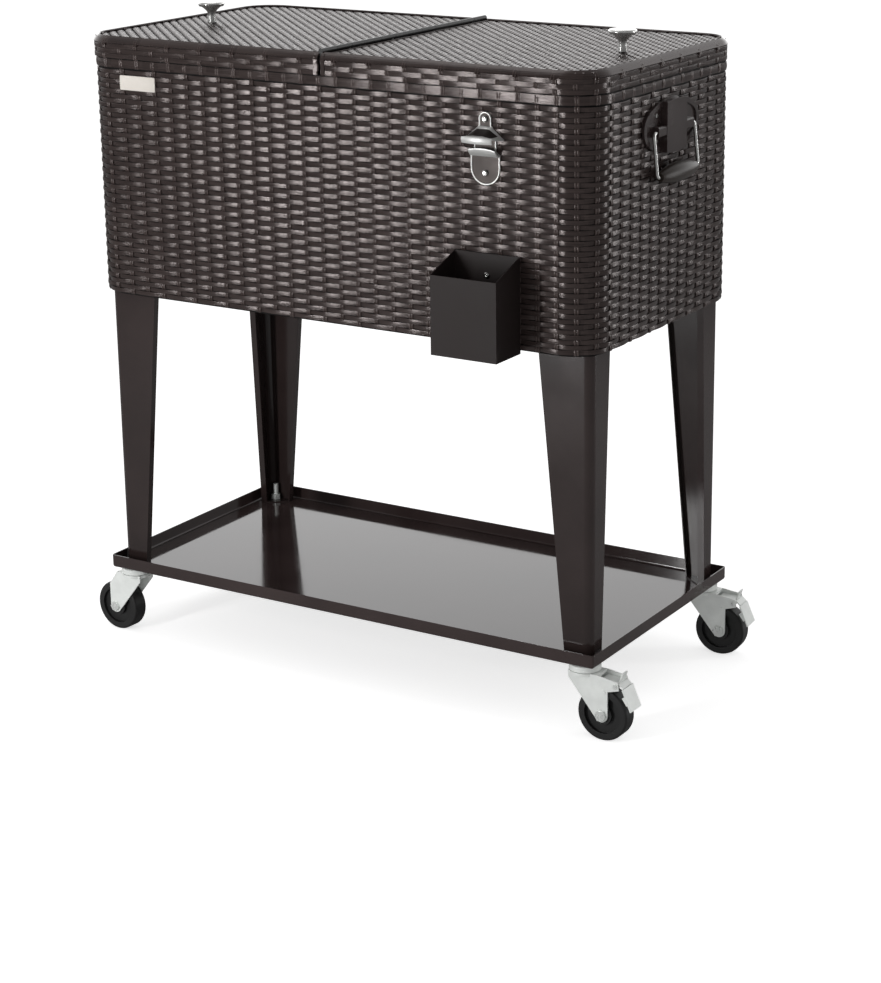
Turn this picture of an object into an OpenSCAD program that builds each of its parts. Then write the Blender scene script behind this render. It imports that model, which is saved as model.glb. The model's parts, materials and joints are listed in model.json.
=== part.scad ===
// Wicker cooler cart: an insulated ice chest with two hinged lids, carried by
// four folded sheet legs that stand in a shelf tray on four swivel casters.
// X runs along the long side, the front faces -Y and Z is up. The origin is
// the middle of the footprint, on the floor.

/* [Body casing] */
// Length of the body casing
body_l = 800; // [700:10:900]
// Width of the body casing, front to back
body_w = 411; // [380:1:460]
// Radius of the casing's upright corners
body_corner_r = 51; // [44:1:60]
// Height of the casing's bottom above the floor
body_z = 517.5; // [470:0.5:560]
// Height of the casing, with its rim
body_h = 331.5; // [300:0.5:380]
// Thickness of the casing wall
casing_wall = 3; // [2:0.5:4]
// Round along the casing's bottom edge
casing_round = 10; // [8:0.5:12]
// Width of the inward flange under the casing
casing_flange = 14; // [10:1:20]
// Height of the rim on top of the casing
rim_h = 13; // [11:0.5:16]
// How far the rim stands proud of the casing
rim_proud = 0.8; // [0.4:0.1:1.5]
// Depth of the rim, inwards
rim_depth = 6; // [5:0.5:8]
// Width of the ledge inside the rim
rim_ledge = 8; // [6:0.5:10]
// Thickness of the ledge inside the rim
rim_ledge_t = 5; // [3:0.5:6]

/* [Ice tub] */
// Thickness of the foam round the tub
foam_t = 22; // [18:1:26]
// Thickness of the tub's wall
tub_wall = 3; // [2:0.5:4]
// Round along the tub's floor, outside
tub_round = 12; // [8:1:16]
// Thickness of each layer of the base panel
base_t = 3; // [2:0.5:4]

/* [Lids] */
// How far the lids' ends stand in from the casing's
lid_in = 0.5; // [0:0.1:2]
// How far the lids stand out over the casing, front and back
lid_proud = 4.5; // [3:0.1:8]
// How much rounder the lids' upright corners are than the casing's
lid_corner_more = 0.6; // [0:0.1:4]
// Height of a lid
lid_h = 27; // [24:0.5:34]
// Gap between a lid and the body
lid_gap = 0.5; // [0.3:0.1:1]
// Round along a lid's top edge
lid_round = 8; // [6:0.5:10]
// Thickness of a lid's shell
lid_wall = 3; // [2:0.5:4]
// Gap between the two lids
seam_w = 4; // [3.6:0.1:5]
// Thickness of a lid's liner
liner_t = 2; // [1.5:0.5:3]
// How deep a lid's liner reaches into the tub
plug_depth = 11; // [8:1:14]
// Clearance of the liner to the tub's end wall
plug_end_clear = 4; // [3.5:0.5:8]
// Clearance of the liner to the tub's front and back walls
plug_side_clear = 3; // [2:0.5:6]

/* [Centre hinge] */
// Diameter of the hinge's barrel
barrel_d = 7; // [6.4:0.1:8]
// Diameter of the hinge pin
hinge_pin_d = 3.5; // [3:0.1:3.8]
// How far the hinge ends inside the lids' edges
hinge_in = 5; // [5:0.5:20]
// Thickness of a lid's hinge leaf
leaf_t = 1; // [0.8:0.1:1]
// Height of a lid's hinge leaf
leaf_h = 23; // [18:1:24]
// Thickness of the fixed blade between the lids
blade_t = 1.2; // [1:0.1:1.4]
// How deep the blade sits in the bridge
blade_seat = 7; // [5:0.5:8]
// Width of the bridge across the tub
bridge_w = 36; // [30:1:44]
// Height of the bridge
bridge_h = 10; // [9:0.5:14]
// Groups of three knuckles along the hinge
knuckle_groups = 4; // [3:1:6]

/* [Lid knobs] */
// Distance of a knob from the lids' outer end
knob_end = 68.5; // [55:0.5:150]
// Diameter of a knob's disc
knob_d = 37.5; // [30:0.5:42]
// Height of a knob
knob_h = 30; // [26:1:34]
// Thickness of a knob's disc
knob_disc_t = 6; // [4:0.5:8]
// Diameter of a knob's foot
knob_foot_d = 14; // [12:0.5:18]
// Diameter of a knob's screw
knob_screw_d = 5; // [4:0.5:6]
// How deep the screw goes into the knob
knob_screw_in = 13; // [10:1:16]

/* [Bottle opener and cap catcher] */
// Distance of the opener from the casing's right end
opener_end = 152; // [110:1:200]
// Distance of the opener's upper screw below the casing's top
opener_drop = 37; // [29:1:49]
// Distance between the opener's two screws
opener_screw_pitch = 68; // [62:1:74]
// Width of the opener's upper tab
opener_tab_w = 18; // [16:0.5:22]
// Width of the opener's lower plate
opener_plate_w = 42; // [38:1:50]
// Distance of the lower plate's upper edge below the upper screw
opener_plate_drop = 44; // [40:1:52]
// Thickness of the opener's metal
opener_t = 2.5; // [2:0.5:3]
// Width of the opener's hood
opener_hood_w = 46; // [40:1:54]
// Reach of the hood from the wall
opener_reach = 27; // [22:1:30]
// Height of the hood's lip
opener_lip_h = 8; // [6:0.5:10]
// Distance of the hood's lip below the upper screw
opener_lip_drop = 30; // [26:1:34]
// How far the cap catcher's middle lies to the right of the opener's
catcher_shift = 0.5; // [-20:0.5:20]
// Width of the cap catcher
catcher_w = 97; // [80:1:120]
// Depth of the cap catcher
catcher_d = 60; // [50:1:80]
// Height of the catcher's back
catcher_back_h = 125.5; // [110:0.5:140]
// Height of the catcher's front
catcher_front_h = 104; // [80:0.5:108]
// Drop of the catcher below the casing's bottom
catcher_drop = 2; // [0:0.5:6]
// Thickness of the catcher's sheet
catcher_t = 1.5; // [1:0.5:2]
// Distance of the catcher's screw below its back's top
catcher_screw_drop = 28.5; // [20:0.5:34]
// Diameter of the wall screws
wall_screw_d = 4; // [3:0.5:4.5]
// Diameter of a wall screw's head
wall_screw_head_d = 8; // [7:0.5:9]
// Height of a wall screw's head
wall_screw_head_h = 2.4; // [2:0.1:2.6]
// How far a wall screw goes in behind the casing's face
wall_screw_in = 12; // [8:1:18]
// Width of the bare badge plate
badge_w = 60; // [50:1:70]
// Height of the badge plate
badge_h = 20; // [16:1:24]
// Distance of the badge plate's middle from the casing's left end
badge_end = 97; // [90:1:120]
// Distance of the badge plate's middle below the casing's top
badge_drop = 32; // [27:1:49]
// Thickness of the badge plate
badge_t = 1.5; // [1:0.5:2]

/* [End handles] */
// Length of a handle's back plate
handle_l = 155; // [140:1:170]
// Height of a handle's back plate
handle_h = 69; // [62:1:76]
// Distance of the back plate's middle below the casing's top
handle_drop = 61; // [53:1:69]
// Thickness of the back plate
handle_t = 4; // [3.5:0.5:4.5]
// Width of the plate's raised cover
cover_w = 56; // [50:1:62]
// How far the cover stands out from the casing
cover_out = 11.5; // [11:0.5:14]
// Depth of the pockets beside the cover
pocket_depth = 2.5; // [2:0.5:3]
// How far the lugs that hold the bail reach from the plate's middle
lug_reach = 50; // [44:1:50]
// Height of a lug from the casing
lug_h = 11; // [10.5:0.1:11.5]
// Width of a lug
lug_w = 14; // [12:0.5:16]
// Diameter of the bail rod
bail_d = 5; // [4:0.5:5]
// Distance between the bail's two arms
bail_span = 116; // [108:1:124]
// Length of the bail's arms
bail_arm = 57; // [52:1:64]
// Distance of the bail's pivot from the casing
bail_pivot_out = 7.2; // [7:0.1:8]
// Height of the bail's pivot above the plate's middle
bail_pivot_up = -4; // [-6:1:0]
// Radius of the bail's bends
bail_bend_r = 6; // [5:0.5:8]
// Length of rod end inside the cover, each side
bail_end_in = 20; // [12:1:24]
// Diameter of the grip's middle
grip_d = 26; // [22:1:28]
// Diameter of the grip's ends
grip_end_d = 11; // [10:0.5:14]
// Distance of a handle screw from the plate's middle, sideways
handle_screw_y = 40; // [38:1:44]
// Distance of a handle screw from the plate's middle, up or down
handle_screw_z = 16; // [14:1:18]

/* [Legs] */
// How far the legs' outer faces stand in from the casing's ends
leg_inset_x = 12; // [10:1:16]
// How far the legs' outer faces stand in from the casing's sides
leg_inset_y = 22.5; // [20:0.5:26]
// Width of a leg's long arm at the top
leg_long_top = 78; // [70:1:90]
// Width of a leg's long arm at the foot
leg_long_foot = 39; // [36:1:50]
// Width of a leg's short arm at the top
leg_short_top = 48; // [44:1:60]
// Width of a leg's short arm at the foot
leg_short_foot = 30; // [28:1:36]
// Radius of a leg's upright fold
leg_fold_r = 12; // [10:0.5:13]
// Thickness of a leg's sheet
leg_t = 1.5; // [1:0.5:2]
// Width of the lips along a leg's free edges
leg_lip = 10; // [6:1:12]
// Diameter of the bolts that hold a leg to the base
leg_bolt_d = 6; // [5:0.5:8]

/* [Tray] */
// How far the tray's long sides stand in from the casing's
tray_in = 6.5; // [0:0.5:12]
// Height of the tray's rim
tray_h = 19; // [14:0.5:24]
// Thickness of the tray's sheet
tray_t = 1.5; // [1:0.5:2]
// Outer corner radius of the tray
tray_corner_r = 4.2; // [4.1:0.1:8]
// Round along the tray's bottom edge
tray_round = 4; // [3:0.5:4]

/* [Casters] */
// Height of a caster, up to the tray
caster_h = 102.5; // [100:0.5:120]
// Diameter of a wheel
wheel_d = 73; // [66:0.5:74]
// Width of a wheel
wheel_w = 23; // [20:0.5:26]
// Distance of the axle from the swivel axis
trail = 31.5; // [28:0.5:36]
// Distance of a swivel axis from the leg's outer face, lengthwise
stem_inset_x = 13; // [12:0.5:16]
// Distance of a swivel axis from the leg's outer face, crosswise
stem_inset_y = 9; // [9:0.5:12]
// Diameter of the caster's threaded stem
stem_d = 8; // [6:0.5:8]
// Height of the stem above the tray's underside
stem_up = 27.5; // [22:0.5:32]
// Diameter of the raceway cap
raceway_d = 43; // [40:1:46]
// Diameter of the swivel's centre post
post_d = 12; // [10:0.5:13]
// Diameter of an axle bolt
axle_d = 8; // [6:0.5:9]
// Thickness of the fork's sheet
fork_t = 2; // [1.5:0.5:2.5]
// Heading of the front left wheel
heading_front_left = 177.4; // [0:0.1:360]
// Heading of the front right wheel
heading_front_right = -0.2; // [-180:0.1:180]
// Heading of the back right wheel
heading_back_right = 4.5; // [-180:0.1:180]
// Heading of the back left wheel
heading_back_left = 180; // [0:0.1:360]
// Gap between a brake pad and its wheel when the brake is off
brake_gap = 4.3; // [4.2:0.1:5]

/* [Drain] */
// Distance of the drain from the casing's left end
drain_end = 104; // [100:1:200]
// Distance of the drain from the casing's back
drain_side = 101.5; // [98:0.5:145]
// Outer diameter of the drain spout
drain_d = 22; // [18:1:24]
// Bore of the drain spout
drain_bore = 14; // [10:1:15]
// Drop of the spout below the base
drain_drop = 35; // [28:1:45]

/* [Hidden] */
$fn = 48;

// Clearances
pin_play = 0.05;
slip = 0.3;
cut = 1;
wide = 2000;

// Levels of the body
body_top = body_z + body_h;
rim_z = body_top - rim_h;
base_top = body_z + 2 * base_t;
tub_l = body_l - 2 * (casing_wall + foam_t);
tub_w = body_w - 2 * (casing_wall + foam_t);
tub_r = body_corner_r - casing_wall - foam_t;
tub_z = base_top + foam_t;
tub_floor = tub_z + tub_wall;
tub_in_l = tub_l - 2 * tub_wall;
tub_in_w = tub_w - 2 * tub_wall;
tub_in_r = tub_r - tub_wall;
tub_in_round = tub_round - tub_wall;
flange_r = body_corner_r - rim_depth;
flange_under = body_top - tub_wall;
front_y = -body_w / 2;
end_x = body_l / 2;

// Levels of the lids
liner_lift = 1;
plug_bridge_clear = 2;
lid_l = body_l - 2 * lid_in;
lid_w = body_w + 2 * lid_proud;
lid_corner_r = body_corner_r + lid_corner_more;
lid_z = body_top + lid_gap;
lid_top = lid_z + lid_h;
lid_under = lid_top - lid_wall;
seam_x = seam_w / 2;
liner_z = lid_z + liner_lift;
liner_top = liner_z + liner_t;
plug_z = body_top - plug_depth;
plug_x = bridge_w / 2 + plug_bridge_clear;
plug_l = tub_in_l - 2 * plug_end_clear;
plug_w = tub_in_w - 2 * plug_side_clear;
plug_r = tub_in_r - plug_side_clear;
knob_x = lid_l / 2 - knob_end;

// Centre hinge
hinge_z = lid_top + barrel_d / 2;
hinge_l = lid_w - 2 * hinge_in;
knuckle_l = hinge_l / (3 * knuckle_groups);
knuckle_gap = 0.3;
knuckle_clear = 0.4;
knuckle_bore = hinge_pin_d / 2 + pin_play;
leaf_top = lid_top - knuckle_clear;
leaf_root = hinge_z - knuckle_bore - slip;
bridge_z = body_top - bridge_h;
bridge_screw_d = 4;
bridge_screw_x = 11;
bridge_screw_in = 8;
bridge_tab_t = 2;
bridge_tab_h = 10;

// Wall screws and what they hold
screw_slot = 1;
screw_crown = 0.6;
knob_screw_head_h = 3;
handle_screw_head_d = 6;
handle_screw_head_h = 1.8;
badge_x = badge_end - end_x;
badge_z = body_top - badge_drop;
badge_corner_r = 2;
opener_x = end_x - opener_end;
opener_top_screw_z = body_top - opener_drop;
opener_low_screw_z = opener_top_screw_z - opener_screw_pitch;
opener_plate_z = opener_top_screw_z - opener_plate_drop;
opener_lip_z = opener_top_screw_z - opener_lip_drop;
opener_low_r = opener_plate_w / 2;
opener_hood_rise = 32;
opener_side_h = 14;
opener_edge_h = 6;
catcher_x = opener_x + catcher_shift;
catcher_z = body_z - catcher_drop;
catcher_screw_z = catcher_z + catcher_back_h - catcher_screw_drop;

// End handles
handle_z = body_top - handle_drop;
lug_bevel = 2;
plate_fullness = 0.85;
pocket_edge = 7;
bail_r = bail_d / 2;
bail_tilt = asin((grip_d / 2 + slip - bail_pivot_out) / bail_arm);
grip_end_gap = 1;
grip_l = bail_span - 2 * bail_bend_r - 2 * grip_end_gap;
grip_steps = 10;
grip_fullness = 0.8;

// Tray and legs
tray_l = body_l;
tray_w = body_w - 2 * tray_in;
tray_z = caster_h;
tray_floor = tray_z + tray_t;
leg_x = body_l / 2 - leg_inset_x;
leg_y = body_w / 2 - leg_inset_y;
leg_top = body_z;
stem_x = leg_x - stem_inset_x;
stem_y = leg_y - stem_inset_y;
stem_nut_clear = 1;
stem_nut_af = 2 * (stem_inset_y - leg_t - stem_nut_clear);
stem_nut_h = 8;
leg_bolt_head_h = 4;
leg_bolt_af = 10;
leg_bolt_long = 22;
leg_bolt_inset = 15;
leg_bolt_far = 56;

// Casters
wheel_r = wheel_d / 2;
wheel_side_gap = 1;
tread_t = 10;
tread_round = 3;
hub_r = 14;
hub_face_r = 10;
wheel_recess = 5;
hub_play = 0.2;
fork_in = wheel_w / 2 + wheel_side_gap;
fork_out = fork_in + fork_t;
fork_tip_r = 9.5;
fork_shoulder = 17;
fork_back_drop = 5;
crown_r = 21;
crown_t = 4;
crown_drop = 11;
crown_top = caster_h - crown_drop;
crown_z = crown_top - crown_t;
race_r = 18.5;
race_h = 3;
race_top = crown_top + race_h;
cap_t = 1.5;
cap_top_t = 3;
cap_gap = 1.3;
cap_z = crown_top + cap_gap;
cap_in = raceway_d / 2 - cap_t;
cap_under = caster_h - cap_top_t;
ball_play = 0.1;
ball_r = (cap_under - race_top) / 2 - ball_play;
ball_ring_r = 14;
ball_count = 8;
cap_chamfer = 2;
rivet_r = 9;
rivet_h = 3;
rivet_gap = 0.2;
axle_head_t = 3.5;
axle_head_af = 14.6;
axle_nut_af = 13;
crown_back = 18;
crown_front = 26;

// Brake, in a fork's side view: distance from the swivel axis, then height
brake_ahead = 20.5;
brake_under = 6.5;
brake_u = trail + brake_ahead;
brake_v = crown_z - brake_under;
leaf_run = 24;
leaf_rise = 2;
bend_run = 5;
pedal_run = 10;
pedal_fall = 3;
tip_run = 22.5;
tip_fall = 32;
tab_root_run = 3.5;
tab_root_rise = 3;
tab_run = 8;
tab_rise = 16.5;
brake_pin_r = 2;
brake_knuckle_r = 4;
brake_t = 2;
brake_half = fork_in - 0.5;
brake_leaf_end = [brake_u - leaf_run, brake_v + leaf_rise];
brake_bend = [brake_u + bend_run, brake_v + leaf_rise];
pedal_top = [brake_u + pedal_run, brake_v - pedal_fall];
pedal_tip = [brake_u + tip_run, brake_v - tip_fall];
tab_root = [brake_u + tab_root_run, brake_v + tab_root_rise];
tab_tip = [brake_u + tab_run, brake_v + tab_rise];
tab_w = 13;
pad_angle = 36;
pad_t = 4.4;
pad_l = 12;
ear_ahead = 5.5;
ear_u = brake_u + ear_ahead;
ear_drop = 11.5;
ear_slope = 2;
side_rivet_back = 17;
side_rivet_under = 11;
side_rivet_r = 3.2;
side_rivet_h = 1;
brake_pin_head_d = 6.4;
brake_pin_head_t = 1.2;

// Drain
drain_x = drain_end - end_x;
drain_y = -front_y - drain_side;
spout_z = body_z - drain_drop;
spout_flange_w = 7;
spout_flange_t = 2;
sump_clear = 1.5;
sump_r = drain_d / 2 + spout_flange_w + sump_clear;
sump_floor = tub_floor - spout_flange_t;
drain_nut_w = 4;
drain_nut_h = 8;
drain_plug_in = 18;
drain_plug_w = 2;
drain_plug_h = 8;

// The footprint's middle, from the parts that reach furthest
reach_left = stem_x + trail + wheel_r;
reach_right = stem_x + pedal_tip[0] + brake_t / 2;
reach_front = body_w / 2 + catcher_d;
reach_back = lid_w / 2;
shift_x = (reach_left - reach_right) / 2;
shift_y = (reach_front - reach_back) / 2;

// Moves what is drawn about the body's middle so that the origin is the
// middle of the footprint.
module placed() {
    translate([shift_x, shift_y, 0]) children();
}

// A rectangle with round corners, about its middle.
module round_rect(l, w, r) {
    square([l - 2 * r, w], center = true);
    square([l, w - 2 * r], center = true);
    for (sx = [-1, 1], sy = [-1, 1])
        translate([sx * (l / 2 - r), sy * (w / 2 - r)]) circle(r);
}

module slab(l, w, r, z0, z1) {
    translate([0, 0, z0]) linear_extrude(height = z1 - z0) round_rect(l, w, r);
}

// Sweeps a profile round a rounded rectangle. The profile's x is measured
// outwards from the centre of a corner, and its y is the height.
module swept_ring(l, w, r) {
    for (k = [0:3]) {
        along = k % 2 == 0 ? w - 2 * r : l - 2 * r;
        out = k % 2 == 0 ? l / 2 - r : w / 2 - r;
        rotate([0, 0, 90 * k]) translate([out, along / 2, 0]) {
            rotate([90, 0, 0]) linear_extrude(height = along) children();
            rotate_extrude(angle = 90) children();
        }
    }
}

// A block with round upright corners and a round along its bottom edge.
module round_bottom_block(l, w, r, z0, z1, f) {
    slab(l, w, r, z0 + f, z1);
    slab(l - 2 * f, w - 2 * f, r - f, z0, z0 + 2 * f);
    swept_ring(l, w, r) intersection() {
        translate([r - f, z0 + f]) circle(f);
        translate([0, z0]) square([r, 2 * f]);
    }
}

// The same with the round along its top edge.
module round_top_block(l, w, r, z0, z1, f) {
    slab(l, w, r, z0, z1 - f);
    slab(l - 2 * f, w - 2 * f, r - f, z1 - 2 * f, z1);
    swept_ring(l, w, r) intersection() {
        translate([r - f, z1 - f]) circle(f);
        translate([0, z1 - 2 * f]) square([r, 2 * f]);
    }
}

module box(x0, x1, y0, y1, z0, z1) {
    translate([x0, y0, z0]) cube([x1 - x0, y1 - y0, z1 - z0]);
}

module rod(d, z0, z1) {
    translate([0, 0, z0]) cylinder(d = d, h = z1 - z0);
}

module hex(af, z0, z1) {
    translate([0, 0, z0]) cylinder(d = af / cos(30), h = z1 - z0, $fn = 6);
}

// A pan-head screw whose head stands on z = 0 and whose shank points down.
module pan_screw(head_d, head_h, shank_d, shank_l) {
    difference() {
        union() {
            rod(head_d, 0, head_h / 2);
            translate([0, 0, head_h / 2])
                cylinder(d1 = head_d, d2 = head_d * screw_crown,
                    h = head_h / 2);
            rod(shank_d, -shank_l, 0);
        }
        for (a = [0, 90])
            rotate([0, 0, a])
                box(-head_d / 4, head_d / 4, -screw_slot / 2, screw_slot / 2,
                    head_h / 2, head_h + cut);
    }
}

// Places children on the casing's front, with their +Z pointing out.
module on_front(x, z) {
    translate([x, front_y, z]) rotate([90, 0, 0]) children();
}

// Places children on an end of the casing: side is 1 on the right. Their +Z
// points out, their X runs along the wall and their Y is up.
module on_end(side, y, z) {
    translate([side * end_x, y, z]) rotate([0, 0, side * 90])
        rotate([90, 0, 0]) children();
}

// The places of every screw in the casing's walls, each with its own length.
module at_wall_screws() {
    on_front(opener_x, opener_top_screw_z) children();
    on_front(opener_x, opener_low_screw_z) children();
    on_front(catcher_x, catcher_screw_z) children();
    for (side = [-1, 1]) at_handle_screws(side) children();
}

module at_handle_screws(side) {
    for (sy = [-1, 1], sz = [-1, 1])
        on_end(side, sy * handle_screw_y, handle_z + sz * handle_screw_z)
            children();
}

// Body casing, rim, tub and foam

module outer_casing() {
    color([0.27, 0.24, 0.23]) difference() {
        round_bottom_block(body_l, body_w, body_corner_r, body_z, rim_z,
            casing_round);
        casing_inside(rim_z + cut);
        slab(body_l - 2 * (casing_round + casing_flange),
            body_w - 2 * (casing_round + casing_flange),
            body_corner_r - casing_round - casing_flange,
            body_z - cut, body_z + casing_wall + cut);
        at_wall_screws() rod(wall_screw_d, -casing_wall - cut, cut);
    }
}

// The hollow inside the casing, up to a level.
module casing_inside(top) {
    round_bottom_block(body_l - 2 * casing_wall, body_w - 2 * casing_wall,
        body_corner_r - casing_wall, body_z + casing_wall, top,
        casing_round - casing_wall);
}

module body_rim() {
    color([0.25, 0.21, 0.2])
        swept_ring(body_l, body_w, body_corner_r) union() {
            translate([body_corner_r - rim_depth, rim_z])
                square([rim_depth + rim_proud, rim_h]);
            translate([body_corner_r - rim_depth - rim_ledge,
                flange_under - rim_ledge_t])
                square([rim_ledge + cut, rim_ledge_t]);
        }
}

module tub_outside(top) {
    round_bottom_block(tub_l, tub_w, tub_r, tub_z, top, tub_round);
    at_drain() rod(2 * (sump_r + tub_wall), sump_floor - tub_wall, tub_floor);
}

module inner_tub() {
    color([0.82, 0.83, 0.84]) difference() {
        union() {
            tub_outside(body_top);
            slab(body_l - 2 * rim_depth, body_w - 2 * rim_depth, flange_r,
                flange_under, body_top);
        }
        round_bottom_block(tub_in_l, tub_in_w, tub_in_r, tub_floor,
            body_top + cut, tub_in_round);
        at_drain() {
            rod(2 * sump_r, sump_floor, tub_floor + cut);
            rod(drain_d, sump_floor - tub_wall - cut, tub_floor);
        }
        at_bridge_screws() rod(bridge_screw_d, -tub_wall - cut, cut);
    }
}

module insulation() {
    color([0.93, 0.9, 0.78]) difference() {
        casing_inside(flange_under);
        box(-wide, wide, -wide, wide, 0, base_top);
        tub_outside(flange_under + cut);
        slab(body_l - 2 * (rim_depth + rim_ledge),
            body_w - 2 * (rim_depth + rim_ledge), flange_r - rim_ledge,
            flange_under, body_top);
        difference() {
            box(-wide, wide, -wide, wide, rim_z - slip, body_top);
            slab(body_l - 2 * (rim_depth + rim_ledge),
                body_w - 2 * (rim_depth + rim_ledge), flange_r - rim_ledge,
                rim_z - 2 * cut, body_top + cut);
        }
        at_drain() rod(drain_d + slip, base_top - cut, tub_z + cut);
        at_wall_screws()
            rod(wall_screw_d + slip, -wall_screw_in - slip, 0);
        at_bridge_screws() 
            rod(bridge_screw_d + slip, -bridge_screw_in - slip, 0);
    }
}

module base_panel() {
    low_l = body_l - 2 * (casing_round + casing_flange + slip);
    low_w = body_w - 2 * (casing_round + casing_flange + slip);
    color([0.2, 0.2, 0.2]) difference() {
        union() {
            slab(low_l, low_w,
                body_corner_r - casing_round - casing_flange - slip,
                body_z, body_z + base_t);
            slab(body_l - 2 * casing_round, body_w - 2 * casing_round,
                body_corner_r - casing_round, body_z + base_t, base_top);
        }
        at_drain() rod(drain_d + slip, body_z - cut, base_top + cut);
        at_leg_bolts() rod(leg_bolt_d, body_z - cut, base_top + cut);
    }
}

// Centre bridge and hinge

module at_bridge_screws() {
    for (sx = [-1, 1], side = [-1, 1])
        translate([sx * bridge_screw_x, side * tub_in_w / 2,
            bridge_z - bridge_tab_h / 2])
            rotate([side * 90, 0, 0]) children();
}

module centre_bridge() {
    color([0.15, 0.15, 0.15]) difference() {
        union() {
            box(-bridge_w / 2, bridge_w / 2, -tub_in_w / 2, tub_in_w / 2,
                bridge_z, body_top);
            for (side = [-1, 1])
                translate([0, side * (tub_in_w - bridge_tab_t) / 2,
                    bridge_z - bridge_tab_h / 2])
                    cube([bridge_w, bridge_tab_t, bridge_tab_h],
                        center = true);
        }
        box(-blade_t / 2, blade_t / 2, -hinge_l / 2, hinge_l / 2,
            body_top - blade_seat, body_top + cut);
        at_bridge_screws() rod(bridge_screw_d, 0, bridge_tab_t + cut);
    }
}

module bridge_screws() {
    color([0.75, 0.75, 0.76]) at_bridge_screws()
        translate([0, 0, bridge_tab_t])
            pan_screw(2 * bridge_screw_d, wall_screw_head_h, bridge_screw_d,
                bridge_tab_t + bridge_screw_in);
}

// One knuckle in three belongs to each leaf: which is 0 for the blade, 1 for
// the left leaf and 2 for the right leaf.
module knuckles(which) {
    for (g = [0:knuckle_groups - 1]) {
        start = -hinge_l / 2 + (3 * g + which) * knuckle_l;
        translate([0, start + knuckle_gap / 2, 0]) children();
    }
}

module knuckle_ring() {
    translate([0, 0, hinge_z]) rotate([-90, 0, 0])
        cylinder(d = barrel_d, h = knuckle_l - knuckle_gap);
}

module hinge_bore() {
    translate([0, -wide / 2, hinge_z]) rotate([-90, 0, 0])
        cylinder(r = knuckle_bore, h = wide);
}

module hinge_blade() {
    color([0.1, 0.1, 0.1]) difference() {
        union() {
            box(-blade_t / 2, blade_t / 2, -hinge_l / 2, hinge_l / 2,
                body_top, leaf_top);
            box(-blade_t / 2, blade_t / 2, -tub_in_w / 2, tub_in_w / 2,
                body_top - blade_seat, body_top);
            knuckles(0) knuckle_ring();
            knuckles(0) box(-blade_t / 2, blade_t / 2, 0,
                knuckle_l - knuckle_gap, leaf_top, leaf_root);
        }
        hinge_bore();
    }
}

module hinge_leaf(side) {
    inner = seam_x - leaf_t;
    which = side < 0 ? 1 : 2;
    x0 = side < 0 ? -seam_x : inner;
    color([0.12, 0.12, 0.12]) difference() {
        union() {
            box(x0, x0 + leaf_t, -hinge_l / 2, hinge_l / 2, lid_top - leaf_h,
                leaf_top);
            knuckles(which) knuckle_ring();
            knuckles(which) box(x0, x0 + leaf_t, 0, knuckle_l - knuckle_gap,
                leaf_top, leaf_root);
        }
        hinge_bore();
    }
}

module hinge_pin() {
    color([0.5, 0.5, 0.5]) translate([0, -hinge_l / 2, hinge_z])
        rotate([-90, 0, 0]) cylinder(d = hinge_pin_d, h = hinge_l);
}

// Lids

// Keeps the half of a lid block on one side of the seam.
module lid_half(side, from_x) {
    intersection() {
        children();
        if (side < 0) box(-wide, -from_x, -wide, wide, 0, wide);
        if (side > 0) box(from_x, wide, -wide, wide, 0, wide);
    }
}

module lid_inside(z0) {
    round_top_block(lid_l - 2 * lid_wall, lid_w - 2 * lid_wall,
        lid_corner_r - lid_wall, z0, lid_under, lid_round - lid_wall);
}

module at_knob(side) {
    translate([side * knob_x, 0, 0]) children();
}

module lid_shell(side) {
    color([0.3, 0.27, 0.26]) difference() {
        lid_half(side, seam_x)
            round_top_block(lid_l, lid_w, lid_corner_r, lid_z, lid_top,
                lid_round);
        lid_half(side, seam_x + lid_wall) lid_inside(lid_z - cut);
        at_knob(side) rod(knob_screw_d + slip, lid_z, lid_top + cut);
    }
}

module plug_block(side, grow, z0, z1) {
    lid_half(side, plug_x - grow)
        slab(plug_l + 2 * grow, plug_w + 2 * grow, plug_r + grow, z0, z1);
}

module lid_liner(side) {
    color([0.8, 0.8, 0.8]) difference() {
        union() {
            lid_half(side, seam_x + lid_wall)
                slab(lid_l - 2 * lid_wall, lid_w - 2 * lid_wall,
                    lid_corner_r - lid_wall, liner_z, liner_top);
            plug_block(side, 0, plug_z, liner_top);
        }
        plug_block(side, -liner_t, plug_z + liner_t, liner_top + cut);
        at_knob(side) rod(knob_screw_d + slip, plug_z - cut, lid_top);
    }
}

module lid_foam(side) {
    color([0.93, 0.9, 0.78]) difference() {
        union() {
            lid_half(side, seam_x + lid_wall) lid_inside(liner_top);
            plug_block(side, -liner_t, plug_z + liner_t, liner_top);
        }
        at_knob(side) rod(knob_screw_d + slip, plug_z, lid_top);
    }
}

module lid_knob(side) {
    foot = knob_foot_d / 2;
    foot_h = 2;
    step = 1.5;
    cove = 5;
    waist = foot - step;
    neck_z = 0.35 * knob_h;
    flare = knob_h - knob_disc_t - neck_z;
    round_r = knob_disc_t / 2;
    color([0.8, 0.8, 0.8]) at_knob(side) translate([0, 0, lid_top])
        difference() {
            rotate_extrude() union() {
                square([foot, foot_h]);
                square([waist, neck_z]);
                translate([0, neck_z])
                    polygon([[0, 0], [waist, 0], [waist + step, flare / 2],
                        [knob_d / 2 - cove, flare], [0, flare]]);
                translate([0, knob_h - knob_disc_t])
                    square([knob_d / 2 - round_r, knob_disc_t]);
                translate([knob_d / 2 - round_r, knob_h - round_r])
                    circle(round_r);
            }
            rod(knob_screw_d, -cut, knob_screw_in + slip);
        }
}

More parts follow.
